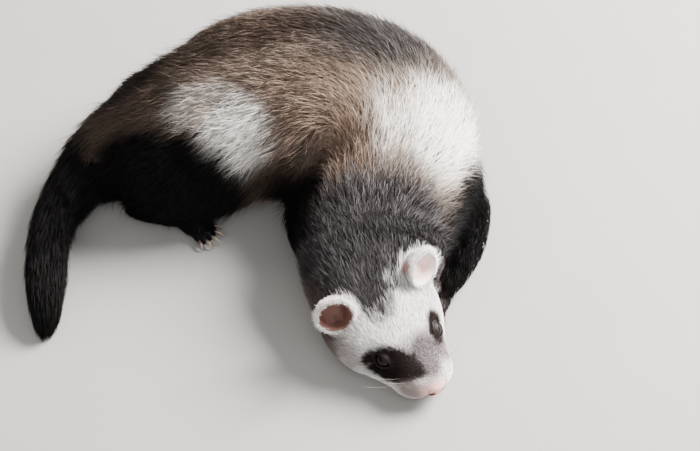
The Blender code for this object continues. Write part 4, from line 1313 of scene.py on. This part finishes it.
# The long coat takes over from the short one between these lengths.
LONG_FROM = (9.0, 14.0)
EYE_CLEARANCE = 5.15
# The space of an ear's cup: its radius, and from how deep to how high.
CUP_RADIUS = 8.2
CUP_SPAN = (-6.5, 4.0)

print("growing the coat")
ground = Ground(skin, coat_fields)
closeness = np.maximum(ground.face_fields[:, 3], 0.0)
for middle, bare in (
    (eye_frame(-1)[0], EYE_BARE),
    (eye_frame(1)[0], EYE_BARE),
    (in_head(NOSE_PAD[0]), PAD_BARE),
):
    closeness[np.linalg.norm(ground.face_middles / MM - middle, axis=1) < bare] = 0.0
closeness[ground.face_middles[:, 2] < FLOOR_BARE * MM] = 0.0
long_share = smoothstep(*LONG_FROM, ground.face_fields[:, 1])
fur = fur_finish()


# Tail hair in millimetres: where it is rooted along the path, its length, its width and the tail's end.
TAIL_ROOTS = (319.0, 409.0)
TAIL_LENGTHS = (17.0, 26.0)
TAIL_WIDTHS = (0.36, 0.6)
TAIL_END = 421.5
TAIL_ROOT_SHARE = 0.94


def tail_hair(count):
    """Long hair from the tail's core back and out to the section's outline, past the core's end."""
    root = draw.uniform(*TAIL_ROOTS, count)
    angle = draw.uniform(0.0, 2 * math.pi, count)
    length = draw.uniform(*TAIL_LENGTHS, count)
    core = core_share(root) * TAIL_ROOT_SHARE
    share = core + (draw.uniform(0.8, 1.02, count) - core) * draw.uniform(0.35, 1.0, count)
    turn = draw.normal(0, 0.2, count)
    length = np.minimum(length, TAIL_END - root - 7.0 * draw.random(count) ** 2)
    lines, normals = [], []
    for t in np.linspace(0, 1, 5):
        s = root + length * t
        place = outline(s, angle + turn * t, core + (share - core) * t**0.8)
        lines.append(place * MM)
        normals.append(unit(place - outline(s, angle, np.zeros(count))))
    lines, normals = np.stack(lines, 1), np.stack(normals, 1)
    width = draw.uniform(*TAIL_WIDTHS, count) * MM
    return (*gathered(lines, normals, length * MM, 0.45, 0.03), width, clumped_seeds(lines[:, 0]))


# The ear's rim as the fringe is rooted on it, and the fringe's hair in millimetres.
RIM = (*EAR_RINGS[5:9], (1.0, -0.15))
RIM_ROOTS = (0.84, 1.0)
FRINGE_BY_TIP = 0.8
FRINGE_LENGTHS = (1.9, 3.6)
FRINGE_WIDTHS = (0.2, 0.34)


def ear_fringe(sign, count):
    """The thick white fur of an ear's rim, out to the solid ear's outline."""
    middle, opening = ear_frame(sign)[:2]
    by_tip = draw.random(count) < FRINGE_BY_TIP
    angle = np.where(by_tip, draw.normal(0.0, 1.2, count), draw.uniform(0.0, 2 * math.pi, count))
    spread = round_ear(sign, angle)
    share = draw.uniform(*RIM_ROOTS, count)
    lift = np.interp(share, *zip(*RIM)) * EAR_DEPTH * EAR_SHARE + EAR_RIM_LIFT * np.cos(angle)
    root = middle + spread * (EAR_RADIUS * EAR_SHARE * share)[:, None] + lift[:, None] * opening
    length = draw.uniform(*FRINGE_LENGTHS, count) * (0.78 + 0.22 * np.cos(angle))
    lean = draw.uniform(-0.1, 0.7, count)[:, None]
    way = unit(spread * lean + opening * 0.4 + draw.normal(0, 0.17, (count, 3)))
    lines = []
    for t in np.linspace(0, 1, 4):
        lines.append(root + (way * t - opening * 0.35 * t**2 + spread * 0.2 * t**2) * length[:, None])
    lines = np.stack(lines, 1) * MM
    normals = np.repeat(opening[None, None] + spread[:, None] * 0.3, 4, axis=1)
    return lines, unit(normals), draw.uniform(*FRINGE_WIDTHS, count) * MM, draw.random(count)


def is_clear(lines):
    """Whether each line keeps off both eyes and out of both ears' cups."""
    clear = np.ones(len(lines), bool)
    for sign in (-1, 1):
        clear &= np.linalg.norm(lines / MM - eye_frame(sign)[0], axis=2).min(1) > EYE_CLEARANCE
        middle, opening = ear_frame(sign)[:2]
        out = lines[:, 1:] / MM - middle
        depth = out @ opening
        radius = np.linalg.norm(out - depth[..., None] * opening, axis=-1)
        clear &= ~((radius < CUP_RADIUS) & (depth > CUP_SPAN[0]) & (depth < CUP_SPAN[1])).any(1)
    return clear


def piece_of_coat(name, slot, lines, normals, width, seeds):
    piece = tufts(name, lines, normals, width, seeds, fur, low, high)
    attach(piece, "root")


def coat(name, slot, count, weights, rings, **settings):
    """One piece of the coat, clear of the eyes and the ears' cups."""
    grown = grow(ground, count, weights, rings, **settings)
    clear = is_clear(grown[0])
    piece_of_coat(name, slot, *(part[clear] for part in grown))


on_tail = (ground.face_middles[:, 0] < -0.075) & (ground.face_middles[:, 1] < 0.026)
body_weights = closeness * long_share * ~on_tail
for name, slot, count, settings in (
    ("undercoat_a", "cream_fur", 10500, {"clump": 0.2, "lift": (0.35, 0.8), "longer": 0.7, "wider": 1.25}),
    ("undercoat_b", "cream_fur", 10500, {"clump": 0.2, "lift": (0.45, 0.85), "longer": 0.8, "wider": 1.1}),
    ("topcoat_a", "tan_fur", 12400, {"clump": 0.4, "wider": 0.85, "rise": 0.9, "fray": 0.05}),
    ("topcoat_b", "grizzled_fur", 12400, {
        "clump": 0.4, "wider": 0.72, "rise": 1.2, "fray": 0.08, "wander": 0.3,
    }),
    ("topcoat_c", "grey_fur", 12400, {
        "clump": 0.3, "wider": 0.58, "rise": 1.4, "fray": 0.12, "wander": 0.36, "longer": 1.1,
    }),
):
    coat(name, slot, count, body_weights, 3, **settings)
piece_of_coat("tail_hair", "black_fur", *tail_hair(7800))
short_weights = closeness * (1 - long_share) * ~on_tail
for name, clump, wider in (("short_fur_a", 0.15, 0.9), ("short_fur_b", 0.2, 0.8)):
    coat(name, "white_mask_fur", 16800, short_weights, 2, clump=clump, wander=0.14, wider=wider)
for sign, side in ((-1, "right"), (1, "left")):
    piece_of_coat("ear_fringe_" + side, "white_mask_fur", *ear_fringe(sign, 1700))

eye_look, horn, whisker_look = eye_finish(), horn_finish(), whisker_finish()
for sign, side in ((-1, "right"), (1, "left")):
    eye = ellipsoid("eyeball_" + side, eye_frame(sign)[0], (EYE_RADIUS,) * 3, 0.0, 48, 32)
    dressed(eye, eye_look)
    still = np.zeros(len(eye.data.vertices))
    marked(eye.data, places_of(eye.data), still, still)
    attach(eye, "root")
    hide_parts("eye_" + side)
    for name, foot, size in (("forepaw_", FOREPAW, FOREPAW_SIZE), ("hind_foot_", HIND_FOOT, HIND_FOOT_SIZE)):
        claws = joined("claws_" + name + side, list(claws_of(foot[side], size)))
        points = above_floor(places_of(claws.data))
        moved_to(claws.data, points)
        dressed(claws, horn)
        reach = np.linalg.norm(points[:, :2] / MM - foot_point(foot[side], 0, 0, 0)[:2], axis=1)
        marked(claws.data, points, smoothstep(*CLAW_SHADES, reach), np.zeros(len(points)))
        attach(claws, "root")


# Rows of whiskers on the lip: their height, and how far forward each begins.
WHISKER_ROWS = ((13.5, -5.5), (11.0, -5.0), (8.5, -5.5))
WHISKER_WIDTH = 0.1


def whiskers(side, sign):
    """Long single hairs from the upper lip and over the eye, swept back."""
    roots, ways, lengths = [], [], []
    for row, (up, first) in enumerate(WHISKER_ROWS):
        for i in range(4):
            roots.append(in_head(mirrored((first - 2.3 * i, 7.2 + 0.75 * i, up), sign)))
            ways.append(toward(mirrored((0.1 - 0.12 * i, 1.0, 0.4 - 0.22 * row), sign)))
            lengths.append(14.0 + 2.2 * i + draw.uniform(-2, 2))
    for i in range(3):
        roots.append(in_head(mirrored((-25.0 - 1.5 * i, 11.5, 27.0), sign)))
        ways.append(toward(mirrored((-0.8, 0.55 + 0.2 * i, 0.6), sign)))
        lengths.append(12.0 + draw.uniform(-2, 2))
    roots = np.array(roots) * MM
    feet, faces = ground.settle(roots)
    ways = unit(np.array(ways) + ground.face_normals[faces] * 0.35)
    sweep = np.array([*-FORWARD, -0.12])
    t = np.linspace(0, 1, 5)[None, :, None]
    reach = np.array(lengths)[:, None, None] * MM
    lines = feet[:, None] + (ways[:, None] * t + sweep * 0.3 * t**2) * reach
    normals = np.repeat(ground.face_normals[faces][:, None], 5, axis=1)
    width, seeds = np.full(len(roots), WHISKER_WIDTH * MM), draw.random(len(roots))
    piece = tufts("whiskers_" + side, lines, normals, width, seeds, whisker_look, low, high)
    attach(piece, "root")


whiskers("right", -1)
whiskers("left", 1)

# Stage: a plain pale floor and soft light.
bpy.ops.mesh.primitive_plane_add(size=6.0, location=(0, 0, -0.0002))
floor = bpy.context.object
floor.name = "floor"
pale = Finish("floor")
grain = pale.noise(pale.node("ShaderNodeTexCoord", out=3), 0.05)
pale.surface(Base_Color=pale.mixed(grain, FLOOR_DARK, FLOOR_PALE), Roughness=0.7)
floor.data.materials.append(pale.material)


def softbox(name, place, aim, size, power, colour):
    light = bpy.data.lights.new(name, "AREA")
    light.size = size
    light.energy = power
    light.color = colour
    lamp = linked(name, light)
    lamp.location = place
    lamp.rotation_euler = (Vector(place) - Vector(aim)).to_track_quat("Z", "Y").to_euler()


softbox("window", (0.95, 0.5, 0.85), (0.03, 0.0, 0.04), 0.7, 142.0, (1.0, 0.975, 0.95))
softbox("front_fill", (0.3, -1.2, 0.9), (0.05, -0.03, 0.03), 2.4, 22.0, (0.97, 0.98, 1.0))
softbox("back_fill", (-0.6, 0.9, 1.1), (0.0, 0.0, 0.04), 1.0, 7.0, (1.0, 0.97, 0.94))
world = bpy.data.worlds.new("studio")
bpy.context.scene.world = world
world.use_nodes = True
world.node_tree.nodes["Background"].inputs["Color"].default_value = (0.9, 0.88, 0.86, 1.0)
world.node_tree.nodes["Background"].inputs["Strength"].default_value = 0.5
